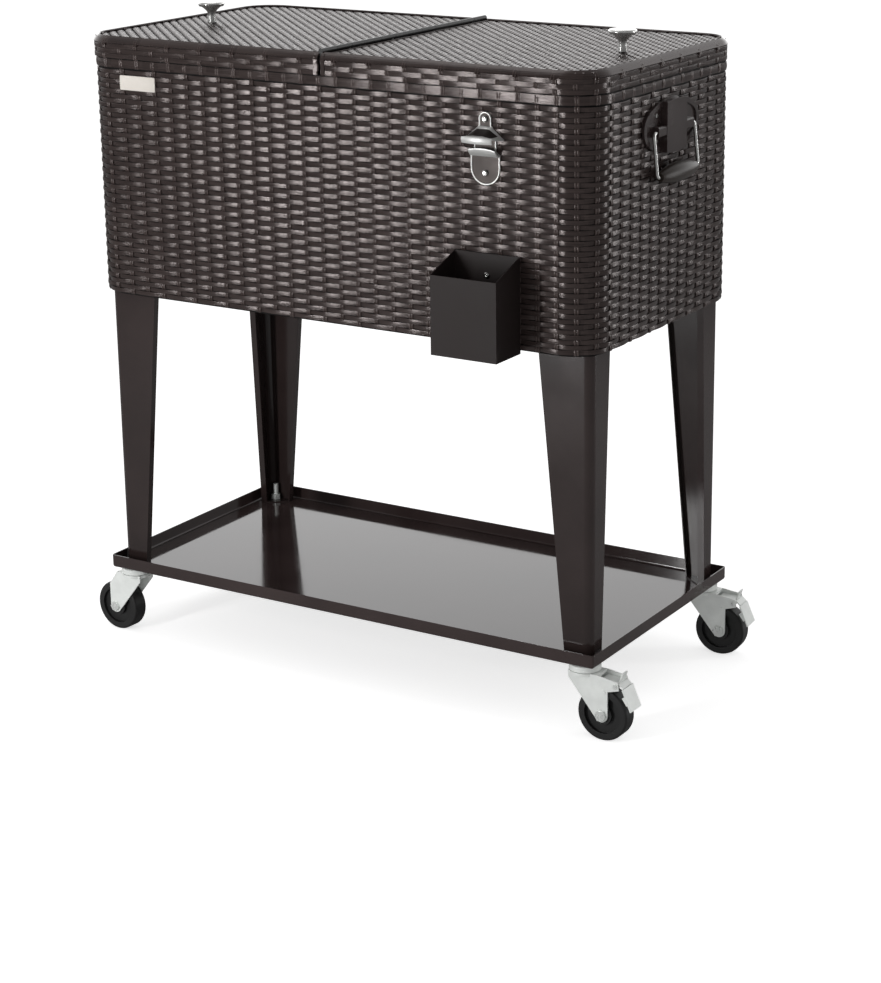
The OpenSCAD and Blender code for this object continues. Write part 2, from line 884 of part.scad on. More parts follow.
module knob_screw(side) {
    head_z = plug_z - knob_screw_head_h;
    color([0.7, 0.7, 0.7]) at_knob(side) {
        rod(knob_screw_d, plug_z, lid_top + knob_screw_in);
        difference() {
            rod(2 * knob_screw_d, head_z, plug_z);
            box(-knob_screw_d / 2, knob_screw_d / 2, -screw_slot / 2,
                screw_slot / 2, head_z - cut, head_z + knob_screw_head_h / 2);
        }
    }
}

// Fittings on the front

module badge_plate() {
    color([0.55, 0.5, 0.46]) on_front(badge_x, badge_z)
        linear_extrude(height = badge_t)
            round_rect(badge_w, badge_h, badge_corner_r);
}

module bottle_opener() {
    low_z = opener_low_screw_z + opener_edge_h;
    hood_z = opener_plate_z + opener_hood_rise;
    color([0.8, 0.8, 0.79]) on_front(opener_x, 0) difference() {
        union() {
            linear_extrude(height = opener_t) union() {
                translate([-opener_tab_w / 2, opener_plate_z - opener_lip_h])
                    square([opener_tab_w,
                        opener_top_screw_z - opener_plate_z + opener_lip_h]);
                translate([0, opener_top_screw_z]) circle(opener_tab_w / 2);
                translate([-opener_low_r, low_z])
                    square([opener_plate_w, opener_plate_z - low_z]);
                translate([0, low_z]) circle(opener_low_r);
            }
            translate([-opener_low_r, opener_plate_z - opener_edge_h, 0])
                cube([opener_plate_w, opener_edge_h, 2.5 * opener_t]);
            rotate([0, 90, 0])
                translate([0, 0, -opener_hood_w / 2])
                linear_extrude(height = opener_hood_w)
                polygon([[0, hood_z], [-opener_t, hood_z],
                    [-opener_reach, opener_lip_z + opener_lip_h],
                    [-opener_reach, opener_lip_z],
                    [opener_t - opener_reach, opener_lip_z],
                    [opener_t - opener_reach,
                        opener_lip_z + opener_lip_h - opener_t],
                    [0, hood_z - 1.5 * opener_t]]);
            for (side = [-1, 1])
                rotate([0, 90, 0])
                translate([0, 0, side * (opener_hood_w - opener_t) / 2
                    - opener_t / 2])
                linear_extrude(height = opener_t)
                polygon([[0, hood_z], [0, hood_z - opener_side_h],
                    [-opener_reach, opener_lip_z],
                    [-opener_reach, opener_lip_z + opener_lip_h]]);
        }
        for (z = [opener_top_screw_z, opener_low_screw_z])
            translate([0, z, 0]) rod(wall_screw_d, -cut, opener_t + cut);
    }
}

module opener_screws() {
    color([0.85, 0.85, 0.85])
        for (z = [opener_top_screw_z, opener_low_screw_z])
            on_front(opener_x, z) translate([0, 0, opener_t])
                wall_screw(opener_t);
}

// A wall screw that first passes through something of the given thickness.
module wall_screw(through) {
    pan_screw(wall_screw_head_d, wall_screw_head_h, wall_screw_d,
        through + wall_screw_in);
}

module cap_catcher() {
    half = catcher_w / 2;
    color([0.24, 0.2, 0.19]) on_front(catcher_x, catcher_z) difference() {
        union() {
            translate([-half, 0, 0]) cube([catcher_w, catcher_back_h, catcher_t]);
            translate([-half, 0, 0]) cube([catcher_w, catcher_t, catcher_d]);
            translate([-half, 0, catcher_d - catcher_t])
                cube([catcher_w, catcher_front_h, catcher_t]);
            for (side = [-1, 1])
                translate([side * (half - catcher_t / 2) - catcher_t / 2, 0, 0])
                rotate([0, 90, 0]) linear_extrude(height = catcher_t)
                polygon([[0, 0], [-catcher_d, 0],
                    [-catcher_d, catcher_front_h], [0, catcher_back_h]]);
        }
        translate([0, catcher_screw_z - catcher_z, 0])
            rod(wall_screw_d, -cut, catcher_t + cut);
    }
}

module catcher_screw() {
    color([0.85, 0.85, 0.85]) on_front(catcher_x, catcher_screw_z)
        translate([0, 0, catcher_t]) wall_screw(catcher_t);
}

// End handles

module plate_outline(half_l, half_h) {
    polygon([for (a = [0:10:350]) [half_l * cos(a),
        half_h * sign(sin(a)) * pow(abs(sin(a)), plate_fullness)]]);
}

// The flat plate with its two pockets and its raised cover.
module plate_body() {
    difference() {
        linear_extrude(height = handle_t)
            plate_outline(handle_l / 2, handle_h / 2);
        translate([0, 0, handle_t - pocket_depth])
            linear_extrude(height = cover_out)
            plate_outline(handle_l / 2 - pocket_edge,
                handle_h / 2 - pocket_edge);
    }
    linear_extrude(height = cover_out) intersection() {
        plate_outline(handle_l / 2, handle_h / 2);
        square([cover_w, handle_h], center = true);
    }
}

// The two tunnels beside the cover that the bail's ends run through.
module plate_lugs() {
    foot = lug_w / 2;
    top = foot - lug_bevel;
    translate([-lug_reach, bail_pivot_up, 0]) rotate([90, 0, 90])
        linear_extrude(height = 2 * lug_reach)
        polygon([[-foot, 0], [-foot, lug_h - lug_bevel], [-top, lug_h],
            [top, lug_h], [foot, lug_h - lug_bevel], [foot, 0]]);
}

module handle_plate(side) {
    color([0.25, 0.21, 0.2]) on_end(side, 0, handle_z) difference() {
        union() {
            plate_body();
            plate_lugs();
        }
        translate([-wide / 2, bail_pivot_up, bail_pivot_out])
            rotate([0, 90, 0]) cylinder(r = bail_r + pin_play, h = wide);
        for (sx = [-1, 1], sy = [-1, 1])
            translate([sx * handle_screw_y, sy * handle_screw_z, 0])
                rod(wall_screw_d, -cut, handle_t + cut);
    }
}

module handle_screws() {
    seat = handle_t - pocket_depth;
    color([0.85, 0.85, 0.85]) for (side = [-1, 1]) at_handle_screws(side)
        translate([0, 0, seat])
            pan_screw(handle_screw_head_d, handle_screw_head_h, wall_screw_d,
                seat + wall_screw_in);
}

// Places a bail's pieces: their Z axis points down an arm from the pivot,
// and their X runs along the pivot.
module in_bail(side) {
    on_end(side, 0, handle_z)
        translate([0, bail_pivot_up, bail_pivot_out])
        rotate([90 - bail_tilt, 0, 0]) children();
}

// A quarter bend of the rod from +X to +Z, about its own centre.
module bail_bend() {
    rotate([90, 0, 0]) rotate_extrude(angle = 90)
        translate([bail_bend_r, 0]) circle(bail_r);
}

module bail_rod(side) {
    half = bail_span / 2;
    b = bail_bend_r;
    start = cover_w / 2 - bail_end_in;
    color([0.85, 0.85, 0.85]) in_bail(side) {
        for (m = [0, 1]) mirror([m, 0, 0]) {
            translate([start, 0, 0]) rotate([0, 90, 0])
                cylinder(r = bail_r, h = half - b - start);
            translate([half - b, 0, b]) mirror([0, 0, 1]) bail_bend();
            translate([half, 0, b]) cylinder(r = bail_r, h = bail_arm - 2 * b);
            translate([half - b, 0, bail_arm - b]) bail_bend();
        }
        translate([b - half, 0, bail_arm]) rotate([0, 90, 0])
            cylinder(r = bail_r, h = 2 * (half - b));
    }
}

module grip(side) {
    half = grip_l / 2;
    end = grip_end_d / 2;
    middle = grip_d / 2;
    color([0.28, 0.24, 0.22]) in_bail(side)
        translate([0, 0, bail_arm]) rotate([0, 90, 0]) difference() {
            rotate_extrude() polygon(concat(
                [[0, -half]],
                [for (k = [-grip_steps:grip_steps]) [end + (middle - end)
                    * pow(cos(90 * k / grip_steps), grip_fullness),
                    half * k / grip_steps]],
                [[0, half]]));
            cylinder(r = bail_r, h = wide, center = true);
        }
}

// Legs, tray and what bolts them together

// Draws children in each quadrant: sx and sy are 1 or -1.
module quadrant(sx, sy) {
    mirror([sx < 0 ? 1 : 0, 0, 0]) mirror([0, sy < 0 ? 1 : 0, 0]) children();
}

module at_leg_bolts() {
    for (sx = [-1, 1], sy = [-1, 1]) {
        translate([sx * (leg_x - leg_bolt_far), sy * (leg_y - leg_bolt_inset),
            0]) children();
        translate([sx * (leg_x - leg_bolt_inset), sy * (leg_y - leg_bolt_long
            - leg_bolt_inset / 2), 0]) children();
    }
}

// A leg in the quadrant where X and Y are positive.
module leg() {
    fold_x = leg_x - leg_fold_r;
    fold_y = leg_y - leg_fold_r;
    in_x = leg_x - leg_t;
    in_y = leg_y - leg_t;
    long_top = leg_x - leg_long_top;
    long_foot = leg_x - leg_long_foot;
    short_top = leg_y - leg_short_top;
    short_foot = leg_y - leg_short_foot;
    difference() {
        union() {
            translate([0, leg_y, 0]) rotate([90, 0, 0])
                linear_extrude(height = leg_t)
                polygon([[fold_x, tray_floor], [fold_x, leg_top],
                    [long_top, leg_top], [long_foot, tray_floor]]);
            translate([0, leg_y, 0]) rotate([90, 0, 0])
                linear_extrude(height = leg_lip)
                polygon([[long_foot + leg_t, tray_floor],
                    [long_top + leg_t, leg_top], [long_top, leg_top],
                    [long_foot, tray_floor]]);
            translate([leg_x, 0, 0]) rotate([0, -90, 0])
                linear_extrude(height = leg_t)
                polygon([[tray_floor, fold_y], [leg_top, fold_y],
                    [leg_top, short_top], [tray_floor, short_foot]]);
            translate([leg_x, 0, 0]) rotate([0, -90, 0])
                linear_extrude(height = leg_lip)
                polygon([[tray_floor, short_foot + leg_t],
                    [leg_top, short_top + leg_t], [leg_top, short_top],
                    [tray_floor, short_foot]]);
            translate([fold_x, fold_y, tray_floor])
                linear_extrude(height = leg_top - tray_floor)
                intersection() {
                    difference() {
                        circle(leg_fold_r);
                        circle(leg_fold_r - leg_t);
                    }
                    square(leg_fold_r);
                }
            translate([0, 0, tray_floor]) linear_extrude(height = leg_t)
                union() {
                    polygon([[in_x, short_foot], [in_x - leg_lip, short_foot],
                        [long_foot, leg_y - leg_lip], [long_foot, in_y],
                        [fold_x, in_y], [in_x, fold_y]]);
                    translate([fold_x, fold_y]) circle(leg_fold_r - leg_t);
                }
            translate([0, 0, leg_top - leg_t]) linear_extrude(height = leg_t)
                union() {
                    polygon([[in_x, short_top], [in_x - 2 * leg_lip, short_top],
                        [long_top, leg_y - 2 * leg_lip], [long_top, in_y],
                        [fold_x, in_y], [in_x, fold_y]]);
                    translate([fold_x, fold_y]) circle(leg_fold_r - leg_t);
                }
        }
        at_leg_bolts() rod(leg_bolt_d, leg_top - leg_t - cut, leg_top + cut);
        translate([stem_x, stem_y, 0])
            rod(stem_d, tray_floor - cut, tray_floor + leg_t + cut);
    }
}

module leg_bolts() {
    color([0.6, 0.6, 0.6]) at_leg_bolts() {
        rod(leg_bolt_d, leg_top - leg_t, base_top);
        hex(leg_bolt_af, leg_top - leg_t - leg_bolt_head_h, leg_top - leg_t);
    }
}

module tray() {
    color([0.42, 0.37, 0.35]) difference() {
        round_bottom_block(tray_l, tray_w, tray_corner_r, tray_z,
            tray_z + tray_h, tray_round);
        round_bottom_block(tray_l - 2 * tray_t, tray_w - 2 * tray_t,
            tray_corner_r - tray_t, tray_floor, tray_z + tray_h + cut,
            tray_round - tray_t);
        for (sx = [-1, 1], sy = [-1, 1])
            translate([sx * stem_x, sy * stem_y, 0])
                rod(stem_d, tray_z - cut, tray_floor + cut);
    }
}

// Casters

// A caster's fixed half: the threaded stem, the cap, the centre post with its
// riveted end, and the ring of balls that the fork turns on.
module raceway() {
    edge = raceway_d / 2;
    post_end = crown_z - rivet_gap - rivet_h;
    rotate_extrude() union() {
        polygon([[0, caster_h], [edge - 2 * cap_chamfer, caster_h],
            [edge, caster_h - cap_chamfer], [edge, cap_z], [cap_in, cap_z],
            [cap_in, cap_under], [0, cap_under]]);
        translate([0, post_end]) square([post_d / 2, caster_h - post_end]);
        translate([0, post_end]) square([rivet_r, rivet_h]);
        translate([0, caster_h]) square([stem_d / 2, stem_up]);
    }
    for (k = [0:ball_count - 1])
        rotate([0, 0, 360 * k / ball_count])
            translate([ball_ring_r, 0, (cap_under + race_top) / 2])
                sphere(ball_r);
}

module at_casters() {
    for (sx = [-1, 1], sy = [-1, 1])
        translate([sx * stem_x, sy * stem_y, 0]) children();
}

module caster_raceways() {
    color([0.85, 0.86, 0.86]) at_casters() raceway();
}

module caster_nuts() {
    z0 = tray_floor + leg_t;
    color([0.75, 0.75, 0.75]) at_casters() difference() {
        hex(stem_nut_af, z0, z0 + stem_nut_h);
        rod(stem_d, z0 - cut, z0 + stem_nut_h + cut);
    }
}

// Places a caster's moving pieces: their X points along the trail, towards
// the axle, and their Y runs across the wheel.
module at_caster(sx, sy, heading) {
    translate([sx * stem_x, sy * stem_y, 0]) rotate([0, 0, heading]) children();
}

// Draws a side profile of a fork, x along the trail and y up, as a plate
// that lies between two distances across the wheel.
module across(from, to) {
    translate([0, to, 0]) rotate([90, 0, 0])
        linear_extrude(height = to - from) children();
}

module fork_side(braked) {
    back_u = -crown_back;
    back_v = crown_z - fork_back_drop;
    du = trail - back_u;
    dv = wheel_r - back_v;
    reach = sqrt(du * du + dv * dv);
    lean = atan2(dv, du) - asin(fork_tip_r / reach);
    run = sqrt(reach * reach - fork_tip_r * fork_tip_r);
    difference() {
        union() {
            polygon([[back_u, crown_top], [back_u, back_v],
                [back_u + run * cos(lean), back_v + run * sin(lean)],
                [trail, wheel_r], [trail + fork_tip_r, wheel_r],
                [trail + fork_tip_r, crown_z - fork_shoulder],
                [crown_front, crown_top]]);
            translate([trail, wheel_r]) circle(fork_tip_r);
            if (braked)
                polygon([[crown_front, crown_top], [ear_u - ear_slope, crown_z],
                    [ear_u, crown_z - ear_drop],
                    [trail + fork_tip_r - ear_slope, crown_z - fork_shoulder]]);
        }
        translate([trail, wheel_r]) circle(d = axle_d);
        if (braked) translate([brake_u, brake_v]) circle(brake_pin_r);
    }
}

// The two rivet heads on the outsides of a braked fork.
module side_rivets() {
    for (side = [-1, 1])
        translate([0, 0, side * (fork_out + side_rivet_h / 2)])
            cylinder(r = side_rivet_r, h = side_rivet_h, center = true);
}

module fork(braked) {
    color([0.85, 0.86, 0.86]) {
        difference() {
            union() {
                rod(2 * crown_r, crown_z, crown_top);
                rod(2 * race_r, crown_top, race_top);
                translate([-crown_back, -fork_out, crown_z])
                    cube([crown_back + crown_front, 2 * fork_out,
                        crown_top - crown_z]);
                for (side = [-1, 1])
                    across(side < 0 ? -fork_out : fork_in,
                        side < 0 ? -fork_in : fork_out) fork_side(braked);
                if (braked)
                    translate([brake_u - side_rivet_back, 0,
                        brake_v - side_rivet_under]) rotate([90, 0, 0])
                        side_rivets();
            }
            rod(post_d + 2 * pin_play, crown_z - cut, race_top + cut);
        }
    }
}

module wheel() {
    rim_in = wheel_r - tread_t;
    half = wheel_w / 2;
    soft = tread_round;
    color([0.15, 0.15, 0.15])
        translate([trail, 0, wheel_r]) rotate([90, 0, 0]) difference() {
            rotate_extrude() union() {
                translate([0, -half]) square([wheel_r - soft, wheel_w]);
                translate([0, soft - half])
                    square([wheel_r, wheel_w - 2 * soft]);
                for (side = [-1, 1])
                    translate([wheel_r - soft, side * (half - soft)])
                        circle(soft);
                translate([0, hub_play - fork_in])
                    square([hub_face_r, 2 * (fork_in - hub_play)]);
            }
            for (side = [-1, 1]) translate([0, 0, side * half])
                difference() {
                    cylinder(r = rim_in, h = 2 * wheel_recess, center = true);
                    cylinder(r = hub_r, h = 3 * wheel_recess, center = true);
                }
            cylinder(d = axle_d + 2 * pin_play, h = wide, center = true);
        }
}

module axle() {
    color([0.8, 0.8, 0.8]) translate([trail, 0, wheel_r])
        rotate([90, 0, 0]) {
            rod(axle_d, -fork_out - axle_head_t, fork_out);
            hex(axle_head_af, fork_out, fork_out + axle_head_t);
            difference() {
                hex(axle_nut_af, -fork_out - axle_head_t, -fork_out);
                rod(axle_d, -fork_out - axle_head_t - cut, cut - fork_out);
            }
        }
}

// The outline of a strip of metal of one thickness that follows a path, on
// the path's left side.
function left_of(p, i) =
    let (a = p[max(i - 1, 0)], b = p[min(i + 1, len(p) - 1)])
    [a[1] - b[1], b[0] - a[0]] / norm(b - a);
function strip(p, t) =
    concat(p, [for (i = [len(p) - 1:-1:0]) p[i] + t * left_of(p, i)]);

// The brake lever: a knuckle on the pin, a spring leaf under the crown, a
// release tab that stands up, and a wide pedal with the pad on its inside.
module brake() {
    color([0.8, 0.82, 0.8]) difference() {
        union() {
            across(-brake_half, brake_half) union() {
                translate([brake_u, brake_v]) circle(brake_knuckle_r);
                polygon(strip([brake_leaf_end, brake_bend, pedal_top],
                    brake_t));
            }
            across(-fork_out, fork_out)
                polygon(strip([pedal_top, pedal_tip], brake_t));
            across(-tab_w / 2, tab_w / 2)
                polygon(strip([tab_root, tab_tip], brake_t));
            translate([trail, 0, wheel_r]) rotate([0, -pad_angle, 0])
                translate([wheel_r + brake_gap, -brake_half, -pad_l / 2])
                    cube([pad_t, 2 * brake_half, pad_l]);
        }
        across(-wide, wide) translate([brake_u, brake_v])
            circle(brake_pin_r + pin_play);
    }
}

module brake_pin() {
    end = fork_out + brake_pin_head_t;
    color([0.8, 0.8, 0.8]) translate([brake_u, 0, brake_v])
        rotate([90, 0, 0]) {
            rod(2 * brake_pin_r, -end, end);
            rod(brake_pin_head_d, fork_out, end);
            rod(brake_pin_head_d, -end, -fork_out);
        }
}

// Drain

module at_drain() {
    translate([drain_x, drain_y, 0]) children();
}

module drain_spout() {
    color([0.85, 0.85, 0.85]) at_drain() difference() {
        union() {
            rod(drain_d, spout_z, sump_floor);
            rod(drain_d + 2 * spout_flange_w, sump_floor, tub_floor);
        }
        rod(drain_bore, spout_z - cut, tub_floor + cut);
    }
}

module drain_nut() {
    color([0.85, 0.85, 0.85]) at_drain() difference() {
        hex(drain_d + 2 * drain_nut_w, body_z - drain_nut_h, body_z);
        rod(drain_d, body_z - drain_nut_h - cut, body_z + cut);
    }
}

module drain_plug() {
    color([0.2, 0.2, 0.2]) at_drain() {
        rod(drain_bore - 2 * pin_play, spout_z, spout_z + drain_plug_in);
        rod(drain_d + 2 * drain_plug_w, spout_z - drain_plug_h, spout_z);
    }
}

placed() outer_casing();
placed() body_rim();
placed() inner_tub();
placed() insulation();
placed() base_panel();
placed() centre_bridge();
placed() bridge_screws();
placed() hinge_blade();
placed() hinge_pin();
placed() hinge_leaf(-1);  // left_hinge_leaf
placed() hinge_leaf(1);  // right_hinge_leaf
placed() lid_shell(-1);  // left_lid_shell
placed() lid_shell(1);  // right_lid_shell
placed() lid_foam(-1);  // left_lid_foam
placed() lid_foam(1);  // right_lid_foam
placed() lid_liner(-1);  // left_lid_liner
placed() lid_liner(1);  // right_lid_liner
placed() lid_knob(-1);  // left_lid_knob
placed() lid_knob(1);  // right_lid_knob
placed() knob_screw(-1);  // left_knob_screw
placed() knob_screw(1);  // right_knob_screw
placed() badge_plate();
placed() bottle_opener();
placed() opener_screws();
placed() cap_catcher();
placed() catcher_screw();
placed() handle_plate(-1);  // left_handle_plate
placed() handle_plate(1);  // right_handle_plate
placed() bail_rod(-1);  // left_bail_rod
placed() bail_rod(1);  // right_bail_rod
placed() grip(-1);  // left_grip
placed() grip(1);  // right_grip
placed() handle_screws();
placed() color([0.22, 0.18, 0.17]) quadrant(-1, -1) leg();  // front_left_leg
placed() color([0.22, 0.18, 0.17]) quadrant(1, -1) leg();  // front_right_leg
placed() color([0.22, 0.18, 0.17]) quadrant(-1, 1) leg();  // back_left_leg
placed() color([0.22, 0.18, 0.17]) quadrant(1, 1) leg();  // back_right_leg
placed() leg_bolts();
placed() tray();
placed() caster_raceways();
placed() caster_nuts();
placed() at_caster(-1, -1, heading_front_left) fork(false);  // front_left_fork
placed() at_caster(1, -1, heading_front_right) fork(true);  // front_right_fork
placed() at_caster(-1, 1, heading_back_left) fork(false);  // back_left_fork
placed() at_caster(1, 1, heading_back_right) fork(true);  // back_right_fork
placed() at_caster(-1, -1, heading_front_left) wheel();  // front_left_wheel
placed() at_caster(1, -1, heading_front_right) wheel();  // front_right_wheel
placed() at_caster(-1, 1, heading_back_left) wheel();  // back_left_wheel
placed() at_caster(1, 1, heading_back_right) wheel();  // back_right_wheel
placed() at_caster(-1, -1, heading_front_left) axle();  // front_left_axle
placed() at_caster(1, -1, heading_front_right) axle();  // front_right_axle
placed() at_caster(-1, 1, heading_back_left) axle();  // back_left_axle
placed() at_caster(1, 1, heading_back_right) axle();  // back_right_axle
placed() at_caster(1, -1, heading_front_right) brake();  // front_right_brake
placed() at_caster(1, 1, heading_back_right) brake();  // back_right_brake
placed() at_caster(1, -1, heading_front_right) brake_pin();  // front_right_brake_pin
placed() at_caster(1, 1, heading_back_right) brake_pin();  // back_right_brake_pin
placed() drain_spout();
placed() drain_nut();
placed() drain_plug();
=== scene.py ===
import json
import math

import bmesh
import bpy
from bpy.props import FloatProperty, FloatVectorProperty, IntProperty, PointerProperty
from mathutils import Matrix, Vector


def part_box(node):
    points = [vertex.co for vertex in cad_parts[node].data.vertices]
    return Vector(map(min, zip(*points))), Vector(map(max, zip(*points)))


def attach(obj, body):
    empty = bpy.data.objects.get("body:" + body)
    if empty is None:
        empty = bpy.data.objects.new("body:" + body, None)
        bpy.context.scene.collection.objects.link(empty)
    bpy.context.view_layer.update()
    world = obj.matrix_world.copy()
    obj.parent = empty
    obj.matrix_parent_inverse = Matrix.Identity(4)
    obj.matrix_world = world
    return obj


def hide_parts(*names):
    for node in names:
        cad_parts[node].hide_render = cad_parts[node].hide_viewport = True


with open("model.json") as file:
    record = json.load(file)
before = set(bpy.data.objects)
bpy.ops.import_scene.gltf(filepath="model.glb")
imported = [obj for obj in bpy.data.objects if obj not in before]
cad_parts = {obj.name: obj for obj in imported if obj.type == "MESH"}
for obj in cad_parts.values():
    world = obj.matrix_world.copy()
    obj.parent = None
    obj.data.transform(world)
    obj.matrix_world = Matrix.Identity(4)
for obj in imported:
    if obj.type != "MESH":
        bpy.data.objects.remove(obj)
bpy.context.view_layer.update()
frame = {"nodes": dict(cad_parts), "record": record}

bl_info = {
    "name": "Wicker cooler cart",
    "version": (1, 0, 0),
    "blender": (4, 5, 0),
    "location": "View3D > Sidebar > Cooler cart",
    "description": "Weaves the skin of a cooler cart round its frame and finishes its metal",
    "category": "Mesh",
}

NODES = frame["nodes"]
BODY_OF = {
    node: body
    for body, members in frame["record"]["behaviour"]["bodies"].items()
    for node in members
}
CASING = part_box("outer_casing")
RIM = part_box("body_rim")
LIDS = {"left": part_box("left_lid_shell"), "right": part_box("right_lid_shell")}
MIDDLE = (CASING[0] + CASING[1]) / 2
BODY_HALF = (CASING[1] - CASING[0]) / 2
RIM_HALF = (RIM[1] - RIM[0]) / 2
LID_HALF_X = LIDS["right"][1].x - MIDDLE.x
LID_HALF_Y = LIDS["right"][1].y - MIDDLE.y
LID_TOP = LIDS["right"][1].z
LID_BOTTOM = LIDS["right"][0].z
UP = Vector((0, 0, 1))
SIDES = ("left", "right")
CORNERS = ("front_left", "front_right", "back_left", "back_right")
# Where the body's first pair of bars stands, in columns from the outline's start.
BODY_PHASE = 0.64
# How far the middle of a bar's arch lies behind the outline that it stands on.
BAR_DEPTH = 0.00035
# From the cart's middle to the end of a lid's skirt and edge band.
LID_SEAM = 0.0024
# How near to a shell's outer skin a point still counts as on it.
ON_SKIN = 0.00008

# How wide the edges of the metal, plastic and sheet pieces are rounded.
HAIRLINE = 0.0001
FINE_EDGE = 0.0002
THIN_EDGE = 0.0003
SHEET_EDGE = 0.0004
FOLD_EDGE = 0.0005
MOULDED_EDGE = 0.0006
SCREW_EDGE = 0.0007
CAST_EDGE = 0.0008


def display(red, green, blue):
    """A colour as a screen shows it, turned into the linear values that materials take."""
    def linear(value):
        share = value / 255
        if share <= 0.04045:
            return share / 12.92
        return ((share + 0.055) / 1.055) ** 2.4
    return (linear(red), linear(green), linear(blue))


def length(name, description, metres):
    """A size in metres that a user can change."""
    return FloatProperty(name=name, description=description, default=metres,
                         precision=4, unit="LENGTH", subtype="DISTANCE")


def colour(name, description, value):
    """A colour that a user can change."""
    return FloatVectorProperty(name=name, description=description, default=value,
                               min=0, max=1, size=3, subtype="COLOR")


def count(name, description, value):
    """A whole number that a user can change."""
    return IntProperty(name=name, description=description, default=value, min=1)


class CoolerWeave(bpy.types.PropertyGroup):
    """Sizes of the woven skin."""

    columns: count("Columns", "Columns of the weave round the body", 86)
    steps: count("Steps per column", "Points of a strap between two columns", 6)
    body_rows: count("Body rows", "Rows of straps down the body", 47)
    row_pitch: length("Row pitch", "Height of one row of straps", 0.00666)
    lid_row_pitch: length("Lid row pitch", "Distance between the straps on a lid", 0.0085)
    lid_column_pitch: length("Lid column pitch", "Length of one weave on a lid", 0.0084)
    strap_width: length("Strap width", "Width of a flat strap", 0.0059)
    strap_thickness: length("Strap thickness", "Thickness of a flat strap", 0.0009)
    strap_swing: length("Strap swing", "How far a strap weaves in and out", 0.0016)
    strap_depth: length("Strap depth", "Where a strap's middle lies behind the skin", 0.0011)
    bar_length: length("Bar length", "Length of one upright bar", 0.0076)
    bar_width: length("Bar width", "Width of one upright bar", 0.003)
    bar_gap: length("Bar spacing", "Distance between the two bars of a pair", 0.0034)
    bar_rise: length("Bar rise", "How far a bar arches over its strap", 0.0012)
    body_corner: length("Body corner", "Corner radius of the body seen from above", 0.051)
    body_round: length("Body bottom round", "Radius along the body's bottom edge", 0.010)
    lid_corner: length("Lid corner", "Corner radius of the lids seen from above", 0.0516)
    lid_round: length("Lid top round", "Radius along the lids' top edge", 0.008)
    core_depth: length("Core depth", "How far the backing lies behind the weave", 0.0026)


class CoolerColours(bpy.types.PropertyGroup):
    """Colours of the cart's finishes."""

    weave: colour("Weave", "Straps of the body and lids", display(42, 34, 33))
    weave_light: colour("Weave, worn", "Lighter streaks in the straps", display(60, 51, 49))
    core: colour("Backing", "Backing behind the weave", display(18, 15, 15))
    paint: colour("Brown paint", "Legs and handle plates", display(48, 39, 38))
    tray: colour("Tray paint", "Shelf tray", display(56, 46, 45))
    hinge: colour("Hinge black", "Centre hinge", display(20, 19, 19))
    steel: colour("Polished steel", "Knobs, opener and screws", display(226, 226, 224))
    # Darker copy of the polished steel: a painted dark reflection on the opener's sunk plate and
    # hood top
    painted_dark_steel: colour("Opener painted dark reflection", "Sunk parts of the opener", display(62, 57, 55))
    zinc: colour("Zinc", "Casters and brakes", display(242, 245, 242))
    catcher: colour("Catcher paint", "Cap catcher", display(37, 29, 28))
    badge: colour("Badge", "Bare badge plate", display(218, 212, 204))
    rubber: colour("Wheel rubber", "Wheels", display(28, 28, 28))
    grip: colour("Grip", "Turned grips", display(47, 39, 34))
    tub: colour("Tub", "Ice tub and lid liners", display(205, 206, 203))
    foam: colour("Foam", "Insulation", display(214, 205, 168))
    drain: colour("Drain plastic", "Drain spout and nut", display(188, 190, 188))


class CoolerStudio(bpy.types.PropertyGroup):
    """Camera and lamps."""

    camera_at: FloatVectorProperty(name="Camera place", description="Where the camera stands",
                                   default=(1.78115, -2.72065, 1.2904), size=3,
                                   unit="LENGTH", subtype="TRANSLATION")
    azimuth: FloatProperty(name="Azimuth", description="Turn of the camera about Z",
                           default=math.radians(30.632), unit="ROTATION", subtype="ANGLE")
    elevation: FloatProperty(name="Elevation", description="How far the camera looks down",
                             default=math.radians(16.310), unit="ROTATION", subtype="ANGLE")
    roll: FloatProperty(name="Roll", description="Roll of the camera about its own axis",
                        default=math.radians(-0.311), unit="ROTATION", subtype="ANGLE")
    lens: FloatProperty(name="Lens", description="Focal length in millimetres", default=98.02,
                        unit="CAMERA")
    shift_x: FloatProperty(name="Shift X", description="Sideways shift of the lens",
                           default=-0.0776)
    shift_y: FloatProperty(name="Shift Y", description="Upward shift of the lens",
                           default=-0.0812)
    key_power: FloatProperty(name="Key lamp", description="Power of the tall lamp",
                             default=26.0, unit="POWER")
    side_power: FloatProperty(name="Side lamp", description="Power of the lamp at the end",
                              default=7.0, unit="POWER")
    sky: FloatProperty(name="Sky", description="Strength of the light from all round",
                       default=0.45, min=0)


